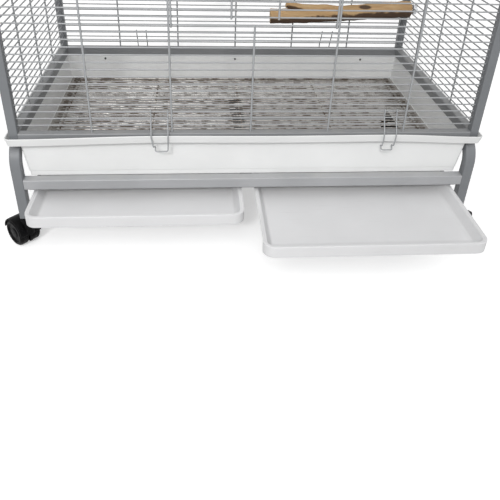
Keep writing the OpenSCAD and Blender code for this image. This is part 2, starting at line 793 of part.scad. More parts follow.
// Wire loop that hangs on a level wire, passes over the rim, snaps under it with a kink,
// and ends in a finger loop.
module clip(x) {
    hook_r = (row_wire_d + clip_wire_d) / 2 + run_gap;
    top = row_z(clip_row);
    face = clip_wire_d / 2 - clip_face;
    half = clip_w / 2;
    foot = clip_foot_w / 2;
    under = stand_h - clip_wire_d / 2 - clip_snap;
    low = stand_h - clip_pull;
    hang = 10; // straight length under the hook
    bend = 4;  // length of a rounded corner
    toe = 2.5; // kink's reach behind the rim's foot
    tip = rim_lean + toe - rim_proud;
    leg = concat(
        [for (a = [-60:30:180]) [half, row_y + hook_r * cos(a), top + hook_r * sin(a)]],
        [
            [half, row_y - hook_r - bend / 4, top - hang],
            [half, face + bend, rim_top + 3 * bend],
            [half, face, rim_top + bend],
            [foot, face, stand_h - bend / 8],
            [foot, tip - bend / 4, under],
            [foot, tip, under - clip_wire_d / 2],
            [foot, tip - bend / 4, under - clip_wire_d],
            [foot, face + bend / 4, low + bend / 4],
            [foot - bend / 2, face, low]
        ]);
    back = [for (i = [len(leg) - 1:-1:0]) [-leg[i][0], leg[i][1], leg[i][2]]];
    path = concat(leg, back);
    translate([x, 0, 0])
        swept(path, [for (p = path) clip_wire_d / 2], [1, 0, 0], 8);
}
module front_clip(x) { color(wire_grey) seat() clip(x); }
module back_clip(x) {
    color(wire_grey) seat() translate([0, cage_d, 0]) mirror([0, 1, 0]) clip(x);
}
module front_left_clip() { front_clip(front_left_clip_x); }
module front_right_clip() { front_clip(front_right_clip_x); }
module back_left_clip() { back_clip(-back_clip_x); }
module back_right_clip() { back_clip(back_clip_x); }

// Forked branch perch, bolted through the right panel with a wing nut outside.
module at_perch(x = 0) {
    seat() translate([x, perch_y, perch_axis_z]) rotate([0, 90, 0]) children();
}
module bolt_hole(h) {
    translate([0, 0, -cut]) cylinder(d = perch_bolt_d + 2 * shaft_gap, h = h + 2 * cut);
}
module perch() {
    rings = 14;
    straight = perch_d / 2;    // level length at the fixed end
    sway = perch_d / 6;        // branch's wander to the side, and its sag
    sag = perch_d / 6;
    knots = perch_d / 32;      // unevenness of its radius
    fork_ring = 7;
    limb_step = perch_d * [-0.63, -0.06, 0.103];
    limb_rings = 6;
    limb_share = 0.3;
    main = concat(
        [[perch_x - weld_gap, 0, 0], [perch_x - straight, 0, 0]],
        [for (i = [1:rings]) let (s = (perch_l - straight) * i / rings)
            [perch_x - straight - s * cos(perch_fall), sway * sin(300 * i / rings),
             -s * sin(perch_fall) - sag * sin(200 * i / rings)]]);
    radii = [for (i = [0:rings + 1]) perch_d / 2
        + (perch_tip_d - perch_d) / 2 * i / (rings + 1) + knots * sin(150 * i)];
    limb = [for (i = [0:limb_rings])
        main[fork_ring] + i * limb_step + [0, 0, sag / 2 * sin(60 * i)]];
    limb_radii = [for (i = [0:limb_rings]) perch_d * (limb_share - 0.015 * i)];
    color(wood) difference() {
        seat() translate([0, perch_y, perch_axis_z]) {
            swept(main, radii, [0, 0, 1], 12);
            swept(limb, limb_radii, [0, 0, 1], 10);
        }
        at_perch(perch_x - perch_bolt_l) bolt_hole(perch_bolt_l);
    }
}
module perch_bolt() {
    inner = perch_x - perch_bolt_l;
    color(zinc) at_perch(inner)
        cylinder(d = perch_bolt_d, h = panel_out_x + washer_t + nut_h + bolt_end - inner);
}
module perch_washers() {
    color(zinc) for (x = [perch_x, panel_out_x]) at_perch(x) difference() {
        cylinder(d = washer_d, h = washer_t);
        bolt_hole(washer_t);
    }
}
module perch_wing_nut() {
    color(zinc) at_perch(panel_out_x + washer_t + weld_gap) difference() {
        union() {
            cylinder(d1 = 2 * perch_bolt_d, d2 = 1.7 * perch_bolt_d, h = nut_h);
            for (a = [0, 180]) rotate(a)
                translate([0.7 * perch_bolt_d, -wing_t / 2, nut_h / 4])
                    cube([wing_l, wing_t, nut_h]);
        }
        bolt_hole(nut_h);
    }
}

stand_left_frame();
stand_right_frame();
stand_front_rail();
stand_back_rail();
rail_end_plugs();
stand_screws();
left_tray_runner();
centre_tray_runner();
right_tray_runner();
leg_sockets();
front_left_caster_housing();
front_left_caster_wheels();
front_left_caster_axle();
front_right_caster_housing();
front_right_caster_wheels();
front_right_caster_axle();
back_left_caster_housing();
back_left_caster_wheels();
back_left_caster_axle();
back_right_caster_housing();
back_right_caster_wheels();
back_right_caster_axle();
base_pan();
pan_studs();
floor_grid();
left_tray();
right_tray();
front_left_post();
front_right_post();
back_left_post();
back_right_post();
front_bottom_rail();
back_bottom_rail();
left_bottom_rail();
right_bottom_rail();
front_top_rail();
back_top_rail();
left_top_rail();
right_top_rail();
post_caps();
front_panel_lower();
front_panel_left();
front_panel_right();
front_panel_upper();
back_panel();
left_panel();
right_panel();
roof_panel();
main_door();
front_left_clip();
front_right_clip();
back_left_clip();
back_right_clip();
perch();
perch_bolt();
perch_washers();
perch_wing_nut();
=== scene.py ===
# A wire flight cage on a castered tube stand, with a base pan and two trays. Metres.
import json
import math
import random

import bmesh
import bpy
from mathutils import Matrix, Vector, noise


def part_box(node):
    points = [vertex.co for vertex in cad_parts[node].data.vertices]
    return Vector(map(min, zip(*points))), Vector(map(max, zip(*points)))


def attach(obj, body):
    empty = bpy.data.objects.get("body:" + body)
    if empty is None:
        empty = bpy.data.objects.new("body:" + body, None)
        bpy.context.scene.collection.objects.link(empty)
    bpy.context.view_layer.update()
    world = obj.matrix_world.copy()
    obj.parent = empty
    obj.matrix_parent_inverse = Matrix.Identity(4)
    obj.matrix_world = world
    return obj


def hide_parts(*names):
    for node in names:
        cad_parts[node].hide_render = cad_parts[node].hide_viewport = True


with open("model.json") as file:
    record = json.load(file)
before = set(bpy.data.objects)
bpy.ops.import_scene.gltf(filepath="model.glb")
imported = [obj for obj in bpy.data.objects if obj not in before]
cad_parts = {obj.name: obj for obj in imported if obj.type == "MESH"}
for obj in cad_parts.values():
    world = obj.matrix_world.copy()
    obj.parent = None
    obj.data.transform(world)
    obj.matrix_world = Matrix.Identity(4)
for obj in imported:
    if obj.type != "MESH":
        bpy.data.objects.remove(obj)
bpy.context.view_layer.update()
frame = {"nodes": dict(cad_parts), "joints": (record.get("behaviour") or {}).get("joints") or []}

# Camera
# It stands a little left of the cage's middle and half a metre over the pan, and looks down.
# The lens is shifted, because the photograph is cut from the lower part of a larger picture.
CAMERA_X = -0.0959
CAMERA_AHEAD = 0.9274
CAMERA_OVER_RAIL = 0.4935
CAMERA_TURN = (59.11, -1.75, -4.09)
SENSOR = 36
PICTURE_PX = 500
FOCAL_PX = 579.9
MIDDLE_PX = (242.5, 172.9)

cage_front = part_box("front_bottom_rail")[0].y
cage_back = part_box("back_bottom_rail")[1].y
seat_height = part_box("front_bottom_rail")[0].z
lens = bpy.data.cameras.new("photo_camera")
lens.sensor_width = SENSOR
lens.lens = SENSOR * FOCAL_PX / PICTURE_PX
lens.shift_x = 0.5 - MIDDLE_PX[0] / PICTURE_PX
lens.shift_y = MIDDLE_PX[1] / PICTURE_PX - 0.5
camera = bpy.data.objects.new("photo_camera", lens)
camera.location = (CAMERA_X, cage_front - CAMERA_AHEAD, seat_height + CAMERA_OVER_RAIL)
camera.rotation_euler = [math.radians(angle) for angle in CAMERA_TURN]
bpy.context.scene.collection.objects.link(camera)
bpy.context.scene.camera = camera
bpy.context.scene.view_settings.view_transform = "Standard"


# Studio
# A pale endless floor under a white sky. Both show white to the camera, but for a soft shade
# painted on the floor behind the cage. Two soft lamps stand high in front, the stronger one on
# the left, and a soft box close in front fades towards the sides and the back.
FLOOR_REACH = 30
FLOOR_TONE = 0.95
FLOOR_BOUNCE = 0.5
FLOOR_GLOW = 0.40
# Painted shade on the floor behind the cage: its tone, and where it fades out at the sides, under
# the cage and far behind it
SHADE_TONE = 0.38
SHADE_SIDES = (0.60, 0.50)
SHADE_NEAR = (-0.08, 0)
SHADE_FAR = (0.52, 0.26)
SKY_LIGHT = 0.40
LAMP_TURNS = {"key_lamp": (55, 0, -16), "fill_lamp": (30, 0, 30)}
LAMP_STRENGTHS = {"key_lamp": 0.9, "fill_lamp": 0.62}
LAMP_SOFTNESS = {"key_lamp": 5, "fill_lamp": 50}
SOFT_BOX_PLACE = Vector((-0.30, -0.95, 0.70))
SOFT_BOX_SIZE = 0.5
SOFT_BOX_WATTS = 5.5


def put(tree, kind, feeds=None, **settings):
    """Adds a shader node. Its feeds are numbers, colours or the sockets that drive it."""
    made = tree.nodes.new("ShaderNode" + kind)
    for name, value in settings.items():
        setattr(made, name, value)
    for socket, feed in (feeds or {}).items():
        if isinstance(feed, bpy.types.NodeSocket):
            tree.links.new(feed, made.inputs[socket])
        else:
            made.inputs[socket].default_value = feed
    return made


def maths(tree, operation, first, second):
    return put(tree, "Math", {0: first, 1: second}, operation=operation).outputs[0]


def between(tree, value, low, high, to_low=0.0, to_high=1.0):
    """Maps a value from one range to another, and holds it at the ends."""
    return put(tree, "MapRange", {"Value": value, "From Min": low, "From Max": high,
                                  "To Min": to_low, "To Max": to_high}).outputs[0]


def shows_white(tree):
    """1 where the camera or a reflection looks at it, 0 where it lights the cage."""
    rays = put(tree, "LightPath").outputs
    mirrored = maths(tree, "MAXIMUM", rays["Is Glossy Ray"], rays["Is Transmission Ray"])
    return maths(tree, "MAXIMUM", rays["Is Camera Ray"], mirrored)


sky = bpy.data.worlds.new("white_sky")
bpy.context.scene.world = sky
sky.use_nodes = True
sky_strength = between(sky.node_tree, shows_white(sky.node_tree), 0, 1, SKY_LIGHT, 1)
background = sky.node_tree.nodes["Background"]
background.inputs["Color"].default_value = (1, 1, 1, 1)
sky.node_tree.links.new(sky_strength, background.inputs["Strength"])

floor_mesh = bpy.data.meshes.new("studio_floor")
floor_mesh.from_pydata([(x * FLOOR_REACH, y * FLOOR_REACH, 0)
                        for x, y in ((-1, -1), (1, -1), (1, 1), (-1, 1))], [], [(0, 1, 2, 3)])
studio_floor = bpy.data.objects.new("studio_floor", floor_mesh)
bpy.context.scene.collection.objects.link(studio_floor)
floor_paper = bpy.data.materials.new("floor_paper")
floor_paper.use_nodes = True
paper = floor_paper.node_tree
paper.nodes.clear()

# The shade painted on the floor fades out at its sides, under the cage and far behind it.
floor_place = put(paper, "SeparateXYZ", {0: put(paper, "TexCoord").outputs["Object"]}).outputs
beside = maths(paper, "ABSOLUTE", floor_place["X"], 0)
behind = maths(paper, "SUBTRACT", floor_place["Y"], cage_back)
shade = between(paper, beside, *SHADE_SIDES)
for fade in (SHADE_NEAR, SHADE_FAR):
    shade = maths(paper, "MULTIPLY", shade, between(paper, behind, *fade))
whiteness = between(paper, shade, 0, 1, 1, SHADE_TONE)
paper_tone = between(paper, shows_white(paper), 0, 1, FLOOR_BOUNCE, FLOOR_TONE)
matt = put(paper, "BsdfDiffuse", {"Color": maths(paper, "MULTIPLY", paper_tone, whiteness)})
glow = put(paper, "Emission", {"Strength": maths(
    paper, "MULTIPLY", maths(paper, "MULTIPLY", shows_white(paper), FLOOR_GLOW), whiteness)})
both = put(paper, "AddShader", {0: matt.outputs[0], 1: glow.outputs[0]})
put(paper, "OutputMaterial", {"Surface": both.outputs[0]})
floor_mesh.materials.append(floor_paper)

for name, turn in LAMP_TURNS.items():
    light = bpy.data.lights.new(name, "SUN")
    light.energy = LAMP_STRENGTHS[name]
    light.angle = math.radians(LAMP_SOFTNESS[name])
    lamp = bpy.data.objects.new(name, light)
    lamp.rotation_euler = [math.radians(angle) for angle in turn]
    bpy.context.scene.collection.objects.link(lamp)
light = bpy.data.lights.new("soft_box", "AREA")
light.energy = SOFT_BOX_WATTS
light.size = SOFT_BOX_SIZE
soft_box = bpy.data.objects.new("soft_box", light)
soft_box.location = Vector((0, cage_front, seat_height)) + SOFT_BOX_PLACE
soft_box.rotation_euler = (-SOFT_BOX_PLACE).to_track_quat("-Z", "Y").to_euler()
soft_box.visible_camera = False
bpy.context.scene.collection.objects.link(soft_box)


# Stand, posts and rails
# Square steel tube, sprayed with satin powder coats and baked. The stand's pale cross rails
# are screwed between its dark side frames, and the runners are folded strips in the dark coat.
COAT_GREY = (0.172, 0.180, 0.190, 1)
RAIL_GREY = (0.240, 0.246, 0.254, 1)
CROSS_RAIL_GREY = (0.36, 0.365, 0.375, 1)
BARE_STEEL = (0.42, 0.42, 0.42, 1)
DUST = (0.52, 0.50, 0.46, 1)
RUB_SHARE = 0.35
DUSTY_ROUGHNESS = 0.75
SPRAY_DIMPLES = 0.00006


def effect(name, inputs, outputs):
    """Starts a shader node group, and returns its tree, its inputs and its outputs."""
    tree = bpy.data.node_groups.new(name, "ShaderNodeTree")
    for socket, kind, value in inputs:
        made = tree.interface.new_socket(socket, in_out="INPUT", socket_type="NodeSocket" + kind)
        made.default_value = value
    for socket, kind in outputs:
        tree.interface.new_socket(socket, in_out="OUTPUT", socket_type="NodeSocket" + kind)
    return tree, tree.nodes.new("NodeGroupInput").outputs, tree.nodes.new("NodeGroupOutput").inputs


def where(tree):
    """Place on the piece, which stays with it when it moves."""
    return put(tree, "TexCoord").outputs["Object"]


def blended(tree, share, under, over):
    """A colour that goes from one to another as share goes from 0 to 1."""
    return put(tree, "Mix", {"Factor": share, 6: under, 7: over}, data_type="RGBA").outputs[2]


# Slow unevenness of a colour, and the fine dimples of a sprayed or moulded skin
skin, skin_in, skin_out = effect(
    "skin", [("Colour", "Color", (1, 1, 1, 1)), ("Unevenness", "Float", 0.05),
             ("Dimples", "Float", 900.0)], [("Colour", "Color"), ("Height", "Float")])
cloudy = put(skin, "TexNoise", {"Vector": where(skin), "Scale": 11, "Detail": 4})
cloud = between(skin, cloudy.outputs[0], 0.35, 0.65, -1.0, 1.0)
tone = maths(skin, "ADD", maths(skin, "MULTIPLY", cloud, skin_in["Unevenness"]), 1.0)
toned = put(skin, "VectorMath", {0: skin_in["Colour"], "Scale": tone}, operation="SCALE")
dimples = put(skin, "TexNoise",
              {"Vector": where(skin), "Scale": skin_in["Dimples"], "Detail": 1})
skin.links.new(toned.outputs[0], skin_out["Colour"])
skin.links.new(dimples.outputs[0], skin_out["Height"])

# Edges where handling has rubbed the finish thin
rubbed, rubbed_in, rubbed_out = effect(
    "rubbed_edges", [("Width", "Float", 0.0012)], [("Mask", "Float")])
round_normal = put(rubbed, "Bevel", {"Radius": rubbed_in["Width"]}, samples=4).outputs[0]
true_normal = put(rubbed, "NewGeometry").outputs["Normal"]
flatness = put(rubbed, "VectorMath", {0: round_normal, 1: true_normal},
               operation="DOT_PRODUCT").outputs["Value"]
edge = between(rubbed, flatness, 0.985, 0.90)
patchy = put(rubbed, "TexNoise", {"Vector": where(rubbed), "Scale": 60, "Detail": 5})
rubbed.links.new(maths(rubbed, "MULTIPLY", edge,
                       between(rubbed, patchy.outputs[0], 0.5, 0.68)), rubbed_out["Mask"])

# Dust that has settled on what faces up
settled, settled_in, settled_out = effect(
    "settled_dust", [("Amount", "Float", 0.3)], [("Mask", "Float")])
facing = put(settled, "SeparateXYZ", {0: put(settled, "NewGeometry").outputs["Normal"]})
drift = put(settled, "TexNoise", {"Vector": where(settled), "Scale": 26, "Detail": 8})
lying = maths(settled, "MULTIPLY", between(settled, facing.outputs["Z"], 0.6, 1.0),
              between(settled, drift.outputs[0], 0.38, 0.7))
settled.links.new(maths(settled, "MULTIPLY", lying, settled_in["Amount"]), settled_out["Mask"])


def new_material(name):
    """A material, its tree and the inputs of its Principled shader."""
    material = bpy.data.materials.new(name)
    material.use_nodes = True
    return material, material.node_tree, material.node_tree.nodes["Principled BSDF"].inputs


def bump(tree, height, distance):
    """A normal for relief that is as deep as the distance."""
    return put(tree, "Bump", {"Height": height, "Distance": distance}).outputs[0]


def sprayed_metal(name, colour, roughness, dust):
    """Coated steel: fine dimples, slow unevenness, rubbed edges and some dust."""
    material, tree, shader = new_material(name)
    coat = put(tree, "Group", {"Colour": colour, "Unevenness": 0.05, "Dimples": 1100},
               node_tree=skin)
    rub = put(tree, "Group", {"Width": 0.0011}, node_tree=rubbed).outputs[0]
    dusty = put(tree, "Group", {"Amount": dust}, node_tree=settled).outputs[0]
    bared = blended(tree, maths(tree, "MULTIPLY", rub, RUB_SHARE), coat.outputs["Colour"],
                    BARE_STEEL)
    tree.links.new(blended(tree, dusty, bared, DUST), shader["Base Color"])
    tree.links.new(between(tree, dusty, 0.0, 0.4, roughness, DUSTY_ROUGHNESS),
                   shader["Roughness"])
    tree.links.new(bump(tree, coat.outputs["Height"], SPRAY_DIMPLES), shader["Normal"])
    return material


def give_finish(material, *nodes):
    """Gives CAD nodes their material."""
    for name in nodes:
        for slot in frame["nodes"][name].material_slots:
            slot.material = material


def cad_size(node):
    low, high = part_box(node)
    return high - low


SIDES = ("left", "right")
ENDS = ("front", "back")
CORNERS = [f"{end}_{side}" for end in ENDS for side in SIDES]
grey_coat = sprayed_metal("grey_powder_coat", COAT_GREY, 0.42, 0.25)
rail_coat = sprayed_metal("mid_grey_powder_coat", RAIL_GREY, 0.42, 0.25)
cross_rail_coat = sprayed_metal("pale_grey_powder_coat", CROSS_RAIL_GREY, 0.40, 0.2)
give_finish(grey_coat, "stand_left_frame", "stand_right_frame",
            "left_tray_runner", "centre_tray_runner", "right_tray_runner")
give_finish(grey_coat, *[f"{corner}_post" for corner in CORNERS])
give_finish(rail_coat, *[f"{place}_{level}_rail" for place in ENDS + SIDES
                         for level in ("bottom", "top")])
give_finish(cross_rail_coat, "stand_front_rail", "stand_back_rail")


# Stand fixings
# Countersunk zinc-plated screws, nylon plugs in the rails' ends, and nylon sockets in the
# leg ends that grip the caster stems.
ZINC = (0.56, 0.57, 0.59, 1)
NYLON = (0.0030, 0.0030, 0.0034, 1)
NYLON_SHINE = 0.06
NYLON_WORN = (0.03, 0.03, 0.03, 1)
HAZE_TONE = 0.62
HAZE_ROUGHNESS = 0.16


def plated_metal(name, colour, roughness):
    """Bright plating with a crystalline bloom and a faint haze."""
    material, tree, shader = new_material(name)
    crystals = put(tree, "TexVoronoi", {"Vector": where(tree), "Scale": 450})
    haze = put(tree, "TexNoise", {"Vector": where(tree), "Scale": 45, "Detail": 6})
    dull = (*[HAZE_TONE * part for part in colour[:3]], 1)
    tree.links.new(blended(tree, between(tree, haze.outputs[0], 0.5, 0.72), colour, dull),
                   shader["Base Color"])
    tree.links.new(between(tree, crystals.outputs["Distance"], 0.0, 0.8,
                           roughness, roughness + HAZE_ROUGHNESS), shader["Roughness"])
    shader["Metallic"].default_value = 1.0
    return material


def moulded_nylon(name, colour, roughness):
    """Dark moulded plastic with a fine matt grain, paler where it is rubbed."""
    material, tree, shader = new_material(name)
    grain = put(tree, "Group", {"Colour": colour, "Unevenness": 0.12, "Dimples": 2400},
                node_tree=skin)
    rub = put(tree, "Group", {"Width": 0.0008}, node_tree=rubbed).outputs[0]
    dusty = put(tree, "Group", {"Amount": 0.008}, node_tree=settled).outputs[0]
    worn = blended(tree, maths(tree, "MULTIPLY", rub, 0.3), grain.outputs["Colour"], NYLON_WORN)
    tree.links.new(blended(tree, dusty, worn, DUST), shader["Base Color"])
    tree.links.new(bump(tree, grain.outputs["Height"], 0.00004), shader["Normal"])
    shader["Roughness"].default_value = roughness
    shader["Specular IOR Level"].default_value = NYLON_SHINE
    return material


zinc_plate = plated_metal("zinc_plate", ZINC, 0.28)
black_nylon = moulded_nylon("black_nylon", NYLON, 0.42)
give_finish(zinc_plate, "stand_screws")
give_finish(black_nylon, "rail_end_plugs", "leg_sockets")


# Casters
# Twin-wheel swivel casters. A moulded nylon hood with a web between the wheels turns on a
# steel stem, and the nylon wheels turn on a steel axle through the web.
WHEEL_WIDTH = 0.018
WHEEL_GAP = 0.0006
WEB = 0.006
WEB_ARC = (-34, 215, 8)
WEB_EDGE = 0.0008
HOOD_CLEARANCE = 0.0012
HOOD_WALL = 0.0025
HOOD_ENDS = (6, 174)
HOOD_STEPS = 40
HOOD_ROLL = 0.006
BOSS_RADIUS = 0.012
BOSS_WAIST = 0.92
BOSS_FOOT = 0.030
BOSS_STEP = (0.011, 0.008)
BOSS_EDGE = 0.0012
BOSS_PLAY = 0.0003
STEM_RADIUS = 0.004
STEM_HIDDEN = 0.002
STEM_EDGE = 0.001
AXIS_RADIUS = 0.0004
TURNS = 48


def add_rings(shape, rings, closed=False):
    """Adds a skin over rings that have as many points each, with caps unless it is closed."""
    points, faces = shape
    start = len(points)
    count = len(rings[0])
    for ring in rings:
        points.extend(ring)
    for i in range(len(rings) if closed else len(rings) - 1):
        low = start + i * count
        high = start + (i + 1) % len(rings) * count
        for k in range(count):
            m = (k + 1) % count
            faces.append((low + k, low + m, high + m, high + k))
    if not closed:
        faces.append([start + count - 1 - k for k in range(count)])
        faces.append([start + (len(rings) - 1) * count + k for k in range(count)])


def turned(profile, place, segments=TURNS):
    """Rings of a turned shape: the profile is (radius, height), the place a matrix."""
    return [[place @ Vector((radius * math.cos(math.tau * k / segments),
                             radius * math.sin(math.tau * k / segments), height))
             for k in range(segments)] for radius, height in profile]


def softened(corners, radii, steps=4, closed=True):
    """Rounds the corners of a line of points, each with its own radius."""
    corners = [Vector(corner) for corner in corners]
    line = []
    for i, corner in enumerate(corners):
        radius = radii[i] if hasattr(radii, "__len__") else radii
        if radius == 0 or not closed and i in (0, len(corners) - 1):
            line.append(corner)
            continue
        back = corners[i - 1] - corner
        ahead = corners[(i + 1) % len(corners)] - corner
        reach = radius / max(math.tan(back.angle(ahead) / 2), 0.05)
        reach = min(reach, 0.48 * back.length, 0.48 * ahead.length)
        for s in range(steps + 1):
            t = s / steps
            line.append(corner + back.normalized() * reach * (1 - t) ** 2
                        + ahead.normalized() * reach * t ** 2)
    return line


def piece(name, shape, material, body, slot, *stood_for):
    """Makes an object of points and faces, rides it on a body and hides what it stands for."""
    mesh = bpy.data.meshes.new(name)
    mesh.from_pydata([tuple(point) for point in shape[0]], [], shape[1])
    sorted_out = bmesh.new()
    sorted_out.from_mesh(mesh)
    bmesh.ops.recalc_face_normals(sorted_out, faces=sorted_out.faces)
    sorted_out.to_mesh(mesh)
    sorted_out.free()
    mesh.shade_smooth()
    mesh.materials.append(material)
    made = bpy.data.objects.new(name, mesh)
    bpy.context.scene.collection.objects.link(made)
    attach(made, body)
    if stood_for:
        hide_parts(*stood_for)
    return made


def even_shading(made):
    """Keeps broad faces flat beside their rounded edges."""
    made.modifiers.new("even_shading", "WEIGHTED_NORMAL").keep_sharp = True


def eased(made, width, angle=35):
    """Rounds the sharp edges that are left."""
    edges = made.modifiers.new("eased", "BEVEL")
    edges.width = width
    edges.segments = 3
    edges.limit_method = "ANGLE"
    edges.angle_limit = math.radians(angle)
    even_shading(made)


def wheel_profile(radius):
    """Half section of one wheel, from the hub's inside, over the tread, to the outer dish."""
    rim, dish, hub = radius * 0.86, radius * 0.74, radius * 0.34
    corners = [(0.0005, 0), (radius - 0.0015, 0), (radius, 0.0022), (radius, 0.0075),
               (radius - 0.0004, 0.0082), (radius - 0.0004, 0.0098), (radius, 0.0105),
               (radius, 0.0145), (rim, WHEEL_WIDTH), (dish, WHEEL_WIDTH),
               (dish - 0.0014, WHEEL_WIDTH - 0.0025), (hub + 0.0018, WHEEL_WIDTH - 0.0025),
               (hub, WHEEL_WIDTH - 0.0008), (0.0005, WHEEL_WIDTH - 0.0002)]
    return softened(corners, [0, 0.002, 0.003, 0.0004, 0.0004, 0.0004, 0.0004, 0.003, 0.002,
                              0.0006, 0.0008, 0.0008, 0.0012, 0], closed=False)


def hood_rings(radius_in, width, axle):
    """A curved shell over the wheels. Its edges are rolled, and its ends are rounded off."""
    outer = radius_in + HOOD_WALL
    half = width / 2
    section = softened([(-half, radius_in), (-half, outer - 0.0006), (HOOD_ROLL - half, outer),
                        (half - HOOD_ROLL, outer), (half, outer - 0.0006), (half, radius_in)],
                       [0.0006, 0.0012, HOOD_ROLL, HOOD_ROLL, 0.0012, 0.0006])
    middle = radius_in + HOOD_WALL / 2
    rings = []
    for i in range(HOOD_STEPS + 1):
        share = i / HOOD_STEPS
        angle = math.radians(HOOD_ENDS[0] + (HOOD_ENDS[1] - HOOD_ENDS[0]) * share)
        thin = min(1.0, 0.35 + 14 * min(share, 1 - share))
        rings.append([axle @ Vector(((middle + (r - middle) * thin) * math.cos(angle), w,
                                     (middle + (r - middle) * thin) * math.sin(angle)))
                      for w, r in section])
    return rings


joints = {joint["name"]: joint for joint in frame["joints"]}
for corner in CORNERS:
    pivot = Vector(joints[f"{corner}_swivel"]["pos_m"])
    axle = Vector(joints[f"{corner}_roll"]["pos_m"])
    trail = (axle - pivot).xy
    heading = Matrix.Rotation(math.atan2(trail.y, trail.x), 4, "Z")
    at_axle = Matrix.Translation(axle) @ heading
    at_pivot = Matrix.Translation((pivot.x, pivot.y, 0)) @ heading
    along_axle = at_axle @ Matrix.Rotation(math.pi / 2, 4, "X")
    hood_width = WEB + 2 * (WHEEL_WIDTH + WHEEL_GAP)
    hood_inside = axle.z + HOOD_CLEARANCE
    leg_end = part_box("leg_sockets")[0].z

    # Hood
    shape = ([], [])
    add_rings(shape, hood_rings(hood_inside, hood_width, at_axle))
    piece(f"{corner}_hood", shape, black_nylon, f"{corner}_caster", "black_plastic",
          f"{corner}_caster_housing")

    # Boss that carries the stem, cut out round the wheels
    shape = ([], [])
    top = leg_end - BOSS_PLAY
    waist = BOSS_RADIUS * BOSS_WAIST
    boss_line = softened([(0, BOSS_FOOT), (waist, BOSS_FOOT), (waist, top - BOSS_STEP[0]),
                          (BOSS_RADIUS, top - BOSS_STEP[1]), (BOSS_RADIUS, top - BOSS_EDGE),
                          (BOSS_RADIUS - BOSS_EDGE, top), (0, top)],
                         [0, 0.001, 0.003, 0.003, 0.0008, 0.0008, 0], closed=False)
    add_rings(shape, turned([(max(r, AXIS_RADIUS), z) for r, z in boss_line], at_pivot))
    boss = piece(f"{corner}_boss", shape, black_nylon, f"{corner}_caster", "black_plastic")
    shape = ([], [])
    drum = [(hood_inside, -hood_width), (hood_inside, hood_width)]
    add_rings(shape, turned(drum, along_axle, 2 * TURNS))
    space_mesh = bpy.data.meshes.new("wheel_space")
    space_mesh.from_pydata([tuple(point) for point in shape[0]], [], shape[1])
    space = bpy.data.objects.new("wheel_space", space_mesh)
    bpy.context.scene.collection.objects.link(space)
    cut = boss.modifiers.new("wheel_space", "BOOLEAN")
    cut.object = space
    with bpy.context.temp_override(object=boss, active_object=boss):
        bpy.ops.object.modifier_apply(modifier=cut.name)
    bpy.data.objects.remove(space)
    bpy.data.meshes.remove(space_mesh)

    # Web between the wheels
    shape = ([], [])
    web_radius = hood_inside + HOOD_WALL / 2
    web_line = [(math.cos(math.radians(a)) * web_radius, math.sin(math.radians(a)) * web_radius)
                for a in range(*WEB_ARC)]
    add_rings(shape, [[at_axle @ Vector((x, side * WEB / 2, z)) for x, z in web_line]
                      for side in (-1, 1)])
    web = piece(f"{corner}_web", shape, black_nylon, f"{corner}_caster", "black_plastic")
    eased(web, WEB_EDGE)

    # Stem
    shape = ([], [])
    stem_foot = leg_end - STEM_HIDDEN
    stem_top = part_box(f"{corner}_caster_housing")[1].z
    stem = softened([(AXIS_RADIUS, stem_foot), (STEM_RADIUS, stem_foot),
                     (STEM_RADIUS, stem_top - STEM_EDGE), (STEM_RADIUS - STEM_EDGE, stem_top),
                     (AXIS_RADIUS, stem_top)], STEM_EDGE / 2, closed=False)
    add_rings(shape, turned(stem, at_pivot, 24))
    piece(f"{corner}_stem", shape, zinc_plate, f"{corner}_caster", "zinc_steel")

    # Wheels and their axle
    shape = ([], [])
    for side in (-1, 1):
        flip = Matrix.Rotation(0 if side > 0 else math.pi, 4, "X")
        place = along_axle @ flip @ Matrix.Translation((0, 0, WEB / 2 + WHEEL_GAP))
        add_rings(shape, turned(wheel_profile(axle.z), place, 64))
    piece(f"{corner}_twin_wheels", shape, black_nylon, f"{corner}_wheels", "black_plastic",
          f"{corner}_caster_wheels")
    give_finish(zinc_plate, f"{corner}_caster_axle")


# Base pan
# One white moulding of tough plastic: a rim band that leans in to its foot, a flange that
# the cage stands in, a deep wall, a ledge for the grid, brown in patches, and a funnel over the
# trays.
# The front of the rim is wavy, because the clips pull it up.
PAN_WHITE = (0.84, 0.845, 0.84, 1)
CORNER_SHADE_AND_GRIME = (0.40, 0.38, 0.34, 1)
SCUFF_GREY = (0.50, 0.50, 0.50, 1)
PAN_WALL = 0.0025
RIM_LEAN = 0.005
RIM_CORNER = 0.010
FLANGE_INSET = 0.021
WALL_LEAN = 0.1
CREASE_DROP = 0.062
CREASE = 0.0008
LEDGE_DROP = 0.055
LEDGE_INSET = 0.047
FUNNEL_INSET = 0.0632
LEAST_CORNER = 0.004
RIM_RISE = 0.0055
RIM_DIP = 0.0012
RIM_BLEND = 0.007
RAIL_GAP = 0.0003
LEDGE_BROWN = (0.21, 0.185, 0.16, 1)

pan_low, pan_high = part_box("base_pan")
stand_top = seat_height - PAN_WALL
rim_top = pan_high.z


def level_ring(width, depth, corner, height, along=44, across=24, turn=7):
    """Points of a level rectangle with rounded corners, the same count whatever its size."""
    arcs = []
    for quarter, (sx, sy) in enumerate(((1, 1), (-1, 1), (-1, -1), (1, -1))):
        middle = Vector((sx * (width / 2 - corner), sy * (depth / 2 - corner), height))
        angles = [math.pi / 2 * (quarter + i / turn) for i in range(turn + 1)]
        arcs.append([middle + corner * Vector((math.cos(a), math.sin(a), 0)) for a in angles])
    ring = []
    for quarter, arc in enumerate(arcs):
        following = arcs[(quarter + 1) % 4][0]
        count = along if quarter % 2 == 0 else across
        ring.extend(arc)
        ring.extend(arc[-1].lerp(following, i / count) for i in range(1, count))
    return ring


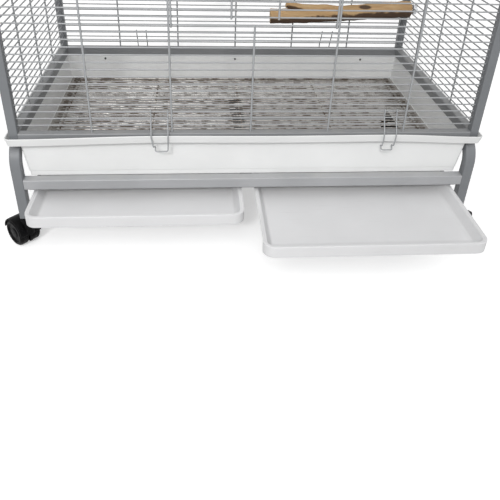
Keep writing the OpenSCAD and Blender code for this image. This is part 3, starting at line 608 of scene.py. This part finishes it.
def shell(profile, low, high, corner):
    """Rings of a moulded shell from its section, each point of which is (inset, height)."""
    middle = Vector(((low.x + high.x) / 2, (low.y + high.y) / 2, 0))
    rings = []
    for inset, height in profile:
        rings.append([middle + point for point in level_ring(
            high.x - low.x - 2 * inset, high.y - low.y - 2 * inset,
            max(corner - inset, LEAST_CORNER), height)])
    return rings


# Painted shade in corners, spotted like grime, and fine scuffs from cleaning
scuffs, scuffs_in, scuffs_out = effect(
    "scuffs", [("Amount", "Float", 0.5)], [("Mask", "Float")])
streaks = []
for turn_z in (0.5, 2.1):
    spun = put(scuffs, "Mapping", {"Vector": where(scuffs), "Rotation": (0, 0, turn_z),
                                   "Scale": (14, 420, 60)}).outputs[0]
    streak = put(scuffs, "TexNoise", {"Vector": spun, "Scale": 1, "Detail": 2}).outputs[0]
    streaks.append(between(scuffs, streak, 0.66, 0.74))
patch = put(scuffs, "TexNoise", {"Vector": where(scuffs), "Scale": 7, "Detail": 3}).outputs[0]
marks = maths(scuffs, "MULTIPLY", maths(scuffs, "MAXIMUM", *streaks),
              between(scuffs, patch, 0.45, 0.65))
scuffs.links.new(maths(scuffs, "MULTIPLY", marks, scuffs_in["Amount"]), scuffs_out["Mask"])

# Painted shade in corners, found by ambient occlusion and spotted like grime
corner_shade, corner_shade_in, corner_shade_out = effect(
    "corner_shade_and_grime", [("Reach", "Float", 0.01)], [("Mask", "Float")])
shelter = put(corner_shade, "AmbientOcclusion", {"Distance": corner_shade_in["Reach"]}, samples=4)
spotty = put(corner_shade, "TexNoise", {"Vector": where(corner_shade), "Scale": 34, "Detail": 6}).outputs[0]
corner_shade.links.new(maths(corner_shade, "MULTIPLY", between(corner_shade, shelter.outputs["AO"], 0.85, 0.35),
                      between(corner_shade, spotty, 0.35, 0.7)), corner_shade_out["Mask"])


def white_moulding(name, colour, roughness, scuffed):
    """Glossy white plastic: faint flow marks, scuffs, and painted shade spotted like grime where
    walls meet.
    """
    material, tree, shader = new_material(name)
    base = put(tree, "Group", {"Colour": colour, "Unevenness": 0.018, "Dimples": 500},
               node_tree=skin)
    marked = put(tree, "Group", {"Amount": scuffed}, node_tree=scuffs).outputs[0]
    # Painted shade where walls meet, spotted like grime
    shaded_corners = put(tree, "Group", {"Reach": 0.012}, node_tree=corner_shade).outputs[0]
    darkened = blended(tree, maths(tree, "MULTIPLY", shaded_corners, 0.14), base.outputs["Colour"], CORNER_SHADE_AND_GRIME)
    tree.links.new(blended(tree, maths(tree, "MULTIPLY", marked, 0.22), darkened, SCUFF_GREY),
                   shader["Base Color"])
    tree.links.new(between(tree, marked, 0.0, 1.0, roughness, 0.6), shader["Roughness"])
    waves = put(tree, "TexNoise", {"Vector": where(tree), "Scale": 16, "Detail": 1}).outputs[0]
    fine = maths(tree, "MULTIPLY", base.outputs["Height"], 0.02)
    tree.links.new(bump(tree, maths(tree, "ADD", waves, fine), 0.0006), shader["Normal"])
    return material


pan_plastic = white_moulding("white_pan_plastic", PAN_WHITE, 0.34, 0.5)

# Brown patches on what faces up at the ledge's height and below
ledge_height = stand_top - LEDGE_DROP
tree = pan_plastic.node_tree
pan_colour = tree.nodes["Principled BSDF"].inputs["Base Color"]
height = put(tree, "SeparateXYZ", {0: where(tree)}).outputs["Z"]
facing = put(tree, "SeparateXYZ", {0: put(tree, "NewGeometry").outputs["Normal"]}).outputs["Z"]
on_ledge = maths(tree, "MULTIPLY", between(tree, facing, 0.7, 0.95),
                 between(tree, height, ledge_height + 0.004, ledge_height + 0.001))
spots = put(tree, "TexNoise", {"Vector": where(tree), "Scale": 30, "Detail": 6}).outputs[0]
darkened = maths(tree, "MULTIPLY", on_ledge, between(tree, spots, 0.25, 0.60, 0.55, 0.95))
tree.links.new(blended(tree, darkened, pan_colour.links[0].from_socket, LEDGE_BROWN), pan_colour)

clip_places = [sum((corner.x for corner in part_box(f"front_{side}_clip")), 0.0) / 2
               for side in SIDES]


def ramp(value, low, high):
    """A smooth step from 0 at low to 1 at high."""
    t = min(max((value - low) / (high - low), 0), 1)
    return t * t * (3 - 2 * t)


def rim_rise(x):
    """How far the clips pull the front of the rim up, at a place along it."""
    left, right = clip_places
    pulled = ramp(x, pan_low.x, left) * ramp(x, pan_high.x, right)
    sag = math.sin(math.pi * min(max((x - left) / (right - left), 0), 1)) ** 2
    return RIM_RISE * pulled - RIM_DIP * sag


rail_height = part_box("stand_front_rail")[1].z + RAIL_GAP
crease_height = stand_top - CREASE_DROP
crease_inset = FLANGE_INSET + WALL_LEAN * CREASE_DROP
foot_inset = FLANGE_INSET + WALL_LEAN * (stand_top - rail_height)
ledge_start = FLANGE_INSET + WALL_LEAN * LEDGE_DROP + PAN_WALL
pan_profile = softened(
    [(0, rim_top), (RIM_LEAN, stand_top), (FLANGE_INSET, stand_top),
     (crease_inset, crease_height), (crease_inset + CREASE, crease_height - CREASE),
     (foot_inset + CREASE / 2, rail_height), (foot_inset + PAN_WALL, rail_height),
     (ledge_start, ledge_height - PAN_WALL),
     (LEDGE_INSET - PAN_WALL, ledge_height - PAN_WALL), (FUNNEL_INSET, pan_low.z),
     (FUNNEL_INSET + PAN_WALL, pan_low.z), (LEDGE_INSET, ledge_height - PAN_WALL),
     (LEDGE_INSET, ledge_height), (ledge_start, ledge_height),
     (FLANGE_INSET + PAN_WALL, seat_height), (RIM_LEAN + PAN_WALL, seat_height),
     (PAN_WALL, rim_top)],
    [0.0011, 0.0016, 0.003, 0.0008, 0.0008, 0.0008, 0.0008, 0.002, 0.003, 0.0011, 0.0011, 0.0005,
     0.002, 0.003, 0.003, 0.001, 0.0011])
shape = ([], [])
add_rings(shape, shell(pan_profile, pan_low, pan_high, RIM_CORNER), closed=True)
for point in shape[0]:
    if point.y < cage_front:
        share = 1 - ramp(point.y, pan_low.y + RIM_BLEND, cage_front)
        point.z += share * rim_rise(point.x)
base_pan = piece("moulded_pan", shape, pan_plastic, "stand_and_cage", "white_plastic", "base_pan")
even_shading(base_pan)


# Pan studs
# Three small nylon studs pressed into the inside of the back wall. They have domed heads
# and sit square to the wall.
STUD_RADIUS = 0.0025
STUD_HEIGHT = 0.0016
STUD_EDGE = 0.35
STUD_LEAN = 5.5
STUD_GREY = (0.075, 0.070, 0.066, 1)

stud_low, stud_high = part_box("pan_studs")
grey_nylon = moulded_nylon("grey_nylon", STUD_GREY, 0.5)
stud_heads = ([], [])
for side in (-1, 0, 1):
    face = Vector((side * (stud_high.x - STUD_RADIUS), stud_high.y - 0.0005,
                   (stud_low.z + stud_high.z) / 2))
    place = Matrix.Translation(face) @ Matrix.Rotation(math.radians(90 - STUD_LEAN), 4, "X")
    dome = [(STUD_RADIUS, 0)]
    for a in range(0, 90, 10):
        rise = STUD_EDGE + (1 - STUD_EDGE) * math.sin(math.radians(a))
        dome.append((STUD_RADIUS * math.cos(math.radians(a)), STUD_HEIGHT * rise))
    add_rings(stud_heads, turned(dome, place, 24))
piece("stud_heads", stud_heads, grey_nylon, "stand_and_cage", "black_plastic", "pan_studs")


# Floor grid
# A loose mat of plated steel wire. Long wires lie on five cross wires, whose back ends turn
# up, and are spot-welded to them. A bent tab at each back corner lifts the mat out.
GRID_STEEL = (0.50, 0.475, 0.45, 1)
GRID_TARNISH = (0.15, 0.118, 0.095, 1)
GRID_WIRE = 0.0015
GRID_SPACING = 0.0129
CROSS_BORDER = 0.016
CROSS_END = 0.0085
CROSS_HOOK = 0.0045
TAB_WIDTH = 0.016
TAB_PEAK = 0.0011
TAB_INSET = 0.010
TAB_WIRE = 0.0012
GRID_WELD = Vector((0.0018, 0.0018, 0.0012))
WIRE_END = (0, math.pi / 6, math.pi / 3, math.pi / 2 - 0.2)
BOW_LEVEL = 0.0005
BOW_UP = 0.0002
random.seed(7)


def add_wire(shape, path, radius, sides=10):
    """Adds a round wire along a path, with rounded ends."""
    path = [Vector(point) for point in path]
    steps = [(b - a).normalized() for a, b in zip(path, path[1:])]
    aims = [steps[0]] + [(a + b).normalized() for a, b in zip(steps, steps[1:])] + [steps[-1]]
    side = aims[0].orthogonal().normalized()
    rings = []
    for i, (point, aim) in enumerate(zip(path, aims)):
        side = (side - aim * side.dot(aim)).normalized()
        over = aim.cross(side)
        stations = [(0.0, 1.0)]
        if i in (0, len(path) - 1):
            way = -1 if i == 0 else 1
            stations = [(way * math.sin(a), math.cos(a)) for a in WIRE_END]
            if i == 0:
                stations.reverse()
        for shift, share in stations:
            middle = point + aim * shift * radius
            rings.append([middle + radius * share * (side * math.cos(math.tau * k / sides)
                                                     + over * math.sin(math.tau * k / sides))
                          for k in range(sides)])
    add_rings(shape, rings)


def add_nugget(shape, place, size):
    """Adds the small flattened bead that a spot weld leaves where two wires cross."""
    rings = []
    for i in range(1, 4):
        angle = math.pi * i / 4 - math.pi / 2
        rings.append([place + Vector((math.cos(math.tau * k / 6) * math.cos(angle) * size.x,
                                      math.sin(angle) * size.y,
                                      math.sin(math.tau * k / 6) * math.cos(angle) * size.z))
                      for k in range(6)])
    add_rings(shape, rings)


def plated_wire(name, bright, tarnish):
    """Bright drawn wire that has dulled and browned in patches."""
    material, tree, shader = new_material(name)
    stain = put(tree, "TexNoise", {"Vector": where(tree), "Scale": 60, "Detail": 7}).outputs[0]
    fine = put(tree, "TexNoise", {"Vector": where(tree), "Scale": 260, "Detail": 3}).outputs[0]
    aged = between(tree, maths(tree, "ADD", stain, maths(tree, "MULTIPLY", fine, 0.25)), 0.56, 0.74)
    tree.links.new(blended(tree, aged, bright, tarnish), shader["Base Color"])
    tree.links.new(between(tree, aged, 0.0, 1.0, 0.34, 0.6), shader["Roughness"])
    tree.links.new(between(tree, aged, 0.0, 1.0, 1.0, 0.55), shader["Metallic"])
    tree.links.new(bump(tree, fine, 0.00002), shader["Normal"])
    return material


grid_plating = plated_wire("tarnished_wire", GRID_STEEL, GRID_TARNISH)
grid_low, grid_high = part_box("floor_grid")
first_y = grid_low.y + GRID_WIRE
last_y = grid_high.y - GRID_WIRE
long_z = grid_low.z + 3 * GRID_WIRE
cross_z = grid_low.z + GRID_WIRE
wire_count = round((last_y - first_y) / GRID_SPACING)
cross_reach = grid_high.x - CROSS_BORDER
shape = ([], [])
for i in range(wire_count + 1):
    y = first_y + (last_y - first_y) * i / wire_count
    end = grid_high.x - GRID_WIRE
    bows = [(k / 4 * end, y + random.uniform(-BOW_LEVEL, BOW_LEVEL),
             long_z + random.uniform(-BOW_UP, BOW_UP)) for k in range(-4, 5)]
    add_wire(shape, softened(bows, 0.2, 3, closed=False), GRID_WIRE)
    for k in range(-2, 3):
        add_nugget(shape, Vector((k * cross_reach / 2, y, (long_z + cross_z) / 2)), GRID_WELD)
for k in range(-2, 3):
    x = k * cross_reach / 2
    tip_y = last_y + GRID_WIRE - CROSS_END
    line = [(x, first_y - GRID_WIRE + CROSS_END, cross_z), (x, tip_y, cross_z),
            (x, tip_y, cross_z + CROSS_HOOK)]
    add_wire(shape, softened(line, [0, 0.002, 0], 4, closed=False), GRID_WIRE)
for side in (-1, 1):
    tab_x = side * (grid_high.x - TAB_INSET)
    tab_y = last_y - 2 * GRID_WIRE
    peak = grid_high.z - TAB_WIRE
    bend = [(tab_x - TAB_WIDTH / 2, tab_y, long_z), (tab_x - TAB_PEAK, tab_y, peak),
            (tab_x + TAB_PEAK, tab_y, peak), (tab_x + TAB_WIDTH / 2, tab_y, long_z)]
    add_wire(shape, softened(bend, [0, 0.0015, 0.0015, 0], 5, closed=False), TAB_WIRE)
piece("welded_floor_grid", shape, grid_plating, "stand_and_cage", "grid_steel", "floor_grid")


# Trays
# Two white shells, formed from plastic sheet, with a rolled lip that hangs on the runners,
# leaning walls, a front apron and a floor that sags a little.
TRAY_WHITE = (0.715, 0.715, 0.722, 1)
TRAY_WALL = 0.0025
TRAY_LIP = 0.005
TRAY_LEAN = 0.009
TRAY_CORNER = 0.020
LIP_BEAD = 0.0007
FLOOR_SAG = 0.0012
FLOOR_BORDER = 0.06
FLOOR_EDGE = 0.01
APRON_LAP = 0.001

tray_plastic = white_moulding("white_tray_plastic", TRAY_WHITE, 0.38, 0.9)
for side in SIDES:
    low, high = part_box(f"{side}_tray")
    lip_under = high.z - TRAY_WALL
    foot = TRAY_LIP + TRAY_LEAN
    reach = (high.x - low.x) / 2
    border = foot + FLOOR_BORDER
    outside = softened([(border, low.z), (foot, low.z), (TRAY_LIP, lip_under),
                        (0.0004, lip_under), (0, high.z - 0.0004), (0.0012, high.z),
                        (TRAY_LIP - 0.0005, high.z), (TRAY_LIP + 0.0002, high.z - LIP_BEAD),
                        (TRAY_LIP + TRAY_WALL, high.z - LIP_BEAD),
                        (foot + TRAY_WALL, low.z + TRAY_WALL), (border, low.z + TRAY_WALL)],
                       [0, 0.005, 0.0012, 0.0008, 0.0008, 0.0008, 0.0004, 0.0004, 0.0016, 0.006, 0],
                       closed=False)
    inner = [(foot + share * (reach - foot), low.z + TRAY_WALL) for share in (0.5, 0.75, 0.9)]
    under = [(inset, low.z) for inset, _ in reversed(inner)]
    shape = ([], [])
    add_rings(shape, shell(under + [tuple(p) for p in outside] + inner, low, high, TRAY_CORNER))
    for point in shape[0]:
        inset = min(point.x - low.x, high.x - point.x, point.y - low.y, high.y - point.y)
        if low.z + TRAY_WALL / 2 < point.z < low.z + 2 * TRAY_WALL:
            point.z -= FLOOR_SAG * ramp(inset, foot + FLOOR_EDGE, reach)

    # Front apron, from one front corner round to the other
    corner_left = Vector((low.x + TRAY_CORNER, low.y + TRAY_CORNER, 0))
    corner_right = Vector((high.x - TRAY_CORNER, low.y + TRAY_CORNER, 0))
    turns = [math.radians(a) for a in range(180, 271, 9)]
    outward = [Vector((math.cos(a), math.sin(a), 0)) for a in turns]
    outward += [Vector((-out.x, out.y, 0)) for out in reversed(outward)]
    centres = [corner_left] * len(turns) + [corner_right] * len(turns)
    apron_top = lip_under + APRON_LAP
    section = softened([(0, apron_top), (0, low.z), (-TRAY_WALL, low.z), (-TRAY_WALL, apron_top)],
                       [0.0004, 0.0009, 0.0009, 0.0004])
    add_rings(shape, [[centre + out * (TRAY_CORNER + depth) + Vector((0, 0, z))
                       for depth, z in section] for centre, out in zip(centres, outward)])
    tray = piece(f"{side}_pull_out_tray", shape, tray_plastic, f"{side}_tray_body",
                 "white_plastic", f"{side}_tray")
    even_shading(tray)


# Wire panels and door
# Level wires spot-welded behind upright ones, cut to fit between the posts and sprayed light
# grey. The drop-down door is a panel of its own.
WIRE_GREY = (0.335, 0.345, 0.355, 1)
WIRE_PITCH = 0.0129
ROW_WIRE = 0.00125
UPRIGHT_WIRE = 0.0017
BAYS_DEEP = 4
END_BAY = 0.127
WELD_DEPTH = 0.0082
WELD = Vector((0.0021, 0.0011, 0.0017))
DOOR_UPRIGHT = 0.039
DOOR_PLAY = 0.0006
DOOR_END = 0.008
PANELS = ["front_panel_lower", "front_panel_left", "front_panel_right", "front_panel_upper",
          "back_panel", "left_panel", "right_panel", "roof_panel"]

wire_coat = sprayed_metal("light_grey_wire_coat", WIRE_GREY, 0.36, 0.12)
give_finish(wire_coat, *PANELS, "main_door")

rail_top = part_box("front_bottom_rail")[1].z
roof_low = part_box("front_top_rail")[0].z
row_count = round((roof_low - rail_top) / WIRE_PITCH) - 1
row_step = (roof_low - rail_top) / (row_count + 1)
rows = [rail_top + row_step * n for n in range(1, row_count + 1)]
door_low, door_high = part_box("main_door")
post_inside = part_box("front_bottom_rail")[1].x
post_size = cad_size("front_left_post").x
bay = (post_inside - END_BAY) / 2
depth_inside = cage_back - cage_front - 2 * post_size
bay_deep = depth_inside / BAYS_DEEP
door_side = bay - 2 * UPRIGHT_WIRE - DOOR_PLAY


def weld_beads(name, places, size, body):
    """One mesh of all the weld beads of a panel."""
    beads = ([], [])
    for place in places:
        add_nugget(beads, place, size)
    piece(name, beads, wire_coat, body, "wire_coat")


for name in PANELS[:5]:
    low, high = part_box(name)
    weld_y = cage_back - WELD_DEPTH if name == "back_panel" else cage_front + WELD_DEPTH
    across = [k * bay for k in range(-2, 3) if low.x < k * bay < high.x]
    weld_beads(f"{name}_welds", [Vector((x, weld_y, z)) for z in rows if low.z < z < high.z
                                 for x in across], WELD, "stand_and_cage")
for side, way in (("left_panel", -1), ("right_panel", 1)):
    weld_x = way * (post_inside + post_size - WELD_DEPTH)
    weld_beads(f"{side}_welds", [Vector((weld_x, cage_front + post_size + k * bay_deep, z))
                                 for z in rows for k in range(1, BAYS_DEEP)],
               WELD.yxz, "stand_and_cage")
roof_count = round(depth_inside / WIRE_PITCH)
weld_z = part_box("roof_panel")[1].z - 2 * UPRIGHT_WIRE
weld_beads("roof_panel_welds",
           [Vector((k * bay, cage_front + post_size + i * depth_inside / roof_count, weld_z))
            for k in range(-2, 3) for i in range(1, roof_count)], WELD.xzy, "stand_and_cage")
weld_beads("door_welds",
           [Vector((x, cage_front + WELD_DEPTH, z)) for z in rows
            if door_low.z + DOOR_END < z < door_high.z
            for x in (-door_side, -DOOR_UPRIGHT, DOOR_UPRIGHT, door_side)], WELD, "door")


# Wire clips
# Loops of coated wire, a little thinner than the panels' level wires. Each hangs on a level
# wire, bears on the rim's edge, kinks in under the rim and ends in a finger loop.
CLIP_WIRE = 0.0012
CLIP_TOP_ROW = 2
CLIP_PLAY = 0.0003
HINGE_DEPTH = 0.0095
KINK = Vector((-0.0015, -0.0024))
LOOP_DROP = 0.0080
CLIP_BENDS = {"front_left": (0.0148, 0.0112, 0.0027), "front_right": (0.0112, 0.0102, -0.0024),
              "back_left": (0.0115, 0.0085, 0.001), "back_right": (0.0128, 0.0085, -0.001)}


def clip_leg(side, bends, hinge, face):
    """Line of one leg, from over the hinge wire down to the finger loop, seen from outside.
    The bends are half its width at the hinge and at the loop, and the loop's shift sideways."""
    x = side * bends[0]
    foot = side * bends[1] + bends[2]
    waist = (x + foot) / 2
    hook = ROW_WIRE + CLIP_WIRE + CLIP_PLAY
    turns = [math.radians(a) for a in range(-60, 181, 20)]
    curl = [(x, hinge.x + hook * math.cos(a), hinge.y + hook * math.sin(a)) for a in turns]
    rest = [(x, hinge.x - hook - 0.001, hinge.y - 0.010), (x, face + 0.003, rim_top + 0.012),
            (x, face, rim_top + 0.005), (waist, face, stand_top + 0.0005),
            (foot, KINK.x, stand_top + KINK.y)]
    rounding = [0, 0.006, 0.006, 0.012, 0.0045, 0]
    return curl + softened([curl[-1]] + rest, rounding, 5, closed=False)[1:]


for corner in CORNERS:
    low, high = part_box(f"{corner}_clip")
    middle = (low.x + high.x) / 2
    front = corner.startswith("front")
    way = 1 if front else -1
    edge_y = cage_front if front else cage_back
    hinge = Vector((HINGE_DEPTH, rows[CLIP_TOP_ROW]))
    face = way * ((low.y if front else high.y) - edge_y) + CLIP_WIRE
    left = clip_leg(-1, CLIP_BENDS[corner], hinge, face)
    right = clip_leg(1, CLIP_BENDS[corner], hinge, face)
    loop_ends = [(leg[-1].x, face, stand_top - LOOP_DROP) for leg in (left, right)]
    loop = left[:-1] + softened([left[-2], left[-1], *loop_ends, right[-1], right[-2]],
                                [0, 0.002, 0.004, 0.004, 0.002, 0], 6, closed=False)[1:-1]
    loop += right[:-1][::-1]
    shape = ([], [])
    add_wire(shape, [(middle + x, edge_y + way * y, z) for x, y, z in loop], CLIP_WIRE, 12)
    piece(f"{corner}_wire_clip", shape, wire_coat, f"{corner}_clip_body", "wire_coat",
          f"{corner}_clip")


# Post caps
# Black nylon caps pushed into the tops of the posts. Their heads are slightly domed.
CAP_HEAD = 0.003
CAP_CORNER = 0.002
CAP_DOME = ((0, 0), (0, 0.55), (0.0012, 0.85), (0.0055, 1))

caps = ([], [])
for corner in CORNERS:
    low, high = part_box(f"{corner}_post")
    dome = softened([(inset, high.z + CAP_HEAD * share) for inset, share in CAP_DOME],
                    [0, 0.0006, 0.001, 0], closed=False)
    rings = [[Vector(((low.x + high.x) / 2, (low.y + high.y) / 2, 0)) + point
              for point in level_ring(high.x - low.x - 2 * inset, high.y - low.y - 2 * inset,
                                      max(CAP_CORNER - inset / 4, CAP_CORNER / 2), z, 2, 2, 4)]
             for inset, z in dome]
    add_rings(caps, rings)
piece("domed_post_caps", caps, black_nylon, "stand_and_cage", "black_plastic", "post_caps")


# Perch
# A natural forked branch. Its bark is peeled off on top and left on underneath, where its dark
# brown is also painted shade. Its ends are sawn. It is bolted through the right panel.
WOOD = (0.50, 0.30, 0.135, 1)
WOOD_PALE = (0.62, 0.42, 0.22, 1)
BARK_AND_SHADE_BROWN = (0.085, 0.048, 0.026, 1)
PERCH_LENGTH = 0.335
PERCH_RADIUS = 0.019
PERCH_TIP = 0.017
PERCH_FALL = 3.4
PERCH_SWAY = PERCH_RADIUS / 3
PERCH_SAG = PERCH_RADIUS / 5
PERCH_RINGS = 70
FORK_SHARE = 0.461
LIMB_STEP = Vector((-0.02394, -0.00228, 0.00391))
LIMB_STEPS = 6
LIMB_RINGS = 5
LIMB_RADIUS = 0.0114
LIMB_TAPER = 0.000114
LIMB_WAVE = 0.0032
KNOT_SHARE = 0.33
KNOT_SIDE = Vector((0, -0.66, 0.75))
KNOT_RISE = 0.0018
KNOT_SIZE = Vector((0.017, 0.012, 0.0050))

perch_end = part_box("perch")[1].x
bolt_low, bolt_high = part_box("perch_bolt")
perch_axis = (bolt_low + bolt_high) / 2


def branch_point(share):
    """Middle of the main branch, from its bolted end to its tip."""
    run = share * PERCH_LENGTH - PERCH_RADIUS
    if run < 0:
        return Vector((perch_end - share * PERCH_LENGTH, perch_axis.y, perch_axis.z))
    fall = math.radians(PERCH_FALL)
    t = run / (PERCH_LENGTH - PERCH_RADIUS)
    return Vector((perch_end - PERCH_RADIUS - run * math.cos(fall),
                   perch_axis.y + PERCH_SWAY * math.sin(math.radians(300 * t)),
                   perch_axis.z - run * math.sin(fall)
                   - PERCH_SAG * math.sin(math.radians(200 * t))))


def add_branch(shape, middles, radii, seed, sides=28, swelling=None):
    """A knobbly round branch with worn edges at its sawn ends."""
    aims = [(b - a).normalized() for a, b in zip(middles, middles[1:])]
    aims.append(aims[-1])
    side = aims[0].orthogonal().normalized()
    rings = []
    for middle, aim, radius in zip(middles, aims, radii):
        side = (side - aim * side.dot(aim)).normalized()
        over = aim.cross(side)
        ring = []
        for k in range(sides):
            out = side * math.cos(math.tau * k / sides) + over * math.sin(math.tau * k / sides)
            place = middle + out * radius
            rough = noise.noise(place * 55 + Vector((seed, 0, 0))) * 0.075
            fine = noise.noise(place * 260 + Vector((seed, 0, 0))) * 0.025
            grown = swelling(middle, out) if swelling else 0
            ring.append(middle + out * (radius * (1 + rough + fine) + grown))
        rings.append(ring)
    ends = []
    for ring, aim, way in ((rings[0], aims[0], -1), (rings[-1], aims[-1], 1)):
        centre = sum(ring, Vector()) / sides
        ends.append([centre + (point - centre) * 0.94 + aim * way * 0.0007 for point in ring])
    add_rings(shape, [ends[0]] + rings + [ends[1]])


knot_place = branch_point(KNOT_SHARE) + PERCH_RADIUS * KNOT_SIDE


def branch_wood(name):
    """Peeled wood with grain along it, dark bark underneath that is also painted shade, and pale
    wood where it is sawn.
    """
    material, tree, shader = new_material(name)
    normal = put(tree, "SeparateXYZ", {0: put(tree, "NewGeometry").outputs["Normal"]}).outputs
    along = put(tree, "Mapping", {"Vector": where(tree), "Scale": (9, 150, 150)}).outputs[0]
    grain = put(tree, "TexNoise", {"Vector": along, "Scale": 1, "Detail": 4}).outputs[0]
    blotch = put(tree, "TexNoise", {"Vector": where(tree), "Scale": 48, "Detail": 5}).outputs[0]
    # Dark bark, and painted shade, on what faces down, in blotches
    lower = maths(tree, "SUBTRACT", maths(tree, "MULTIPLY", blotch, 1.1), normal["Z"])
    bark_and_underside_shade = between(tree, lower, 0.42, 0.66)
    scale = Vector([1 / size for size in KNOT_SIZE])
    centred = put(tree, "Mapping", {"Vector": where(tree), "Scale": scale,
                                    "Location": -knot_place * scale}).outputs[0]
    distance = put(tree, "VectorMath", {0: centred}, operation="LENGTH").outputs["Value"]
    knot_dark_oval = between(tree, distance, 1.0, 0.7)
    sawn = between(tree, maths(tree, "ABSOLUTE", normal["X"], 0), 0.86, 0.92)
    wood = blended(tree, between(tree, grain, 0.35, 0.7), WOOD_PALE, WOOD)
    barked_and_shaded = blended(tree, maths(tree, "MAXIMUM", bark_and_underside_shade, knot_dark_oval), wood, BARK_AND_SHADE_BROWN)
    tree.links.new(blended(tree, sawn, barked_and_shaded, WOOD_PALE), shader["Base Color"])
    height = maths(tree, "ADD", grain, maths(tree, "MULTIPLY", bark_and_underside_shade, 1.5))
    tree.links.new(bump(tree, height, 0.0004), shader["Normal"])
    shader["Roughness"].default_value = 0.68
    return material


def knot(middle, out):
    """A healed knot, a low swelling round a dark oval on the front of the branch."""
    far = (middle - branch_point(KNOT_SHARE)).length / KNOT_SIZE.x
    return KNOT_RISE * math.exp(-far * far) * max(0, -out.y) ** 2


bare_wood = branch_wood("branch_wood")
shape = ([], [])
middles = [branch_point(i / PERCH_RINGS) for i in range(PERCH_RINGS + 1)]
radii = [PERCH_RADIUS + (PERCH_TIP - PERCH_RADIUS) * i / PERCH_RINGS
         for i in range(PERCH_RINGS + 1)]
add_branch(shape, middles, radii, 3, swelling=knot)
fork = branch_point(FORK_SHARE)
limb_count = LIMB_RINGS * LIMB_STEPS
limb = []
for i in range(limb_count + 1):
    wave = LIMB_WAVE * math.sin(math.radians(60 * i / LIMB_RINGS))
    limb.append(fork + LIMB_STEP * (i / LIMB_RINGS) + Vector((0, 0, wave)))
limb_radii = [LIMB_RADIUS - LIMB_TAPER * i for i in range(limb_count + 1)]
add_branch(shape, limb, limb_radii, 11, sides=22)
piece("forked_branch", shape, bare_wood, "stand_and_cage", "branch_wood", "perch")
give_finish(zinc_plate, "perch_bolt", "perch_washers", "perch_wing_nut")
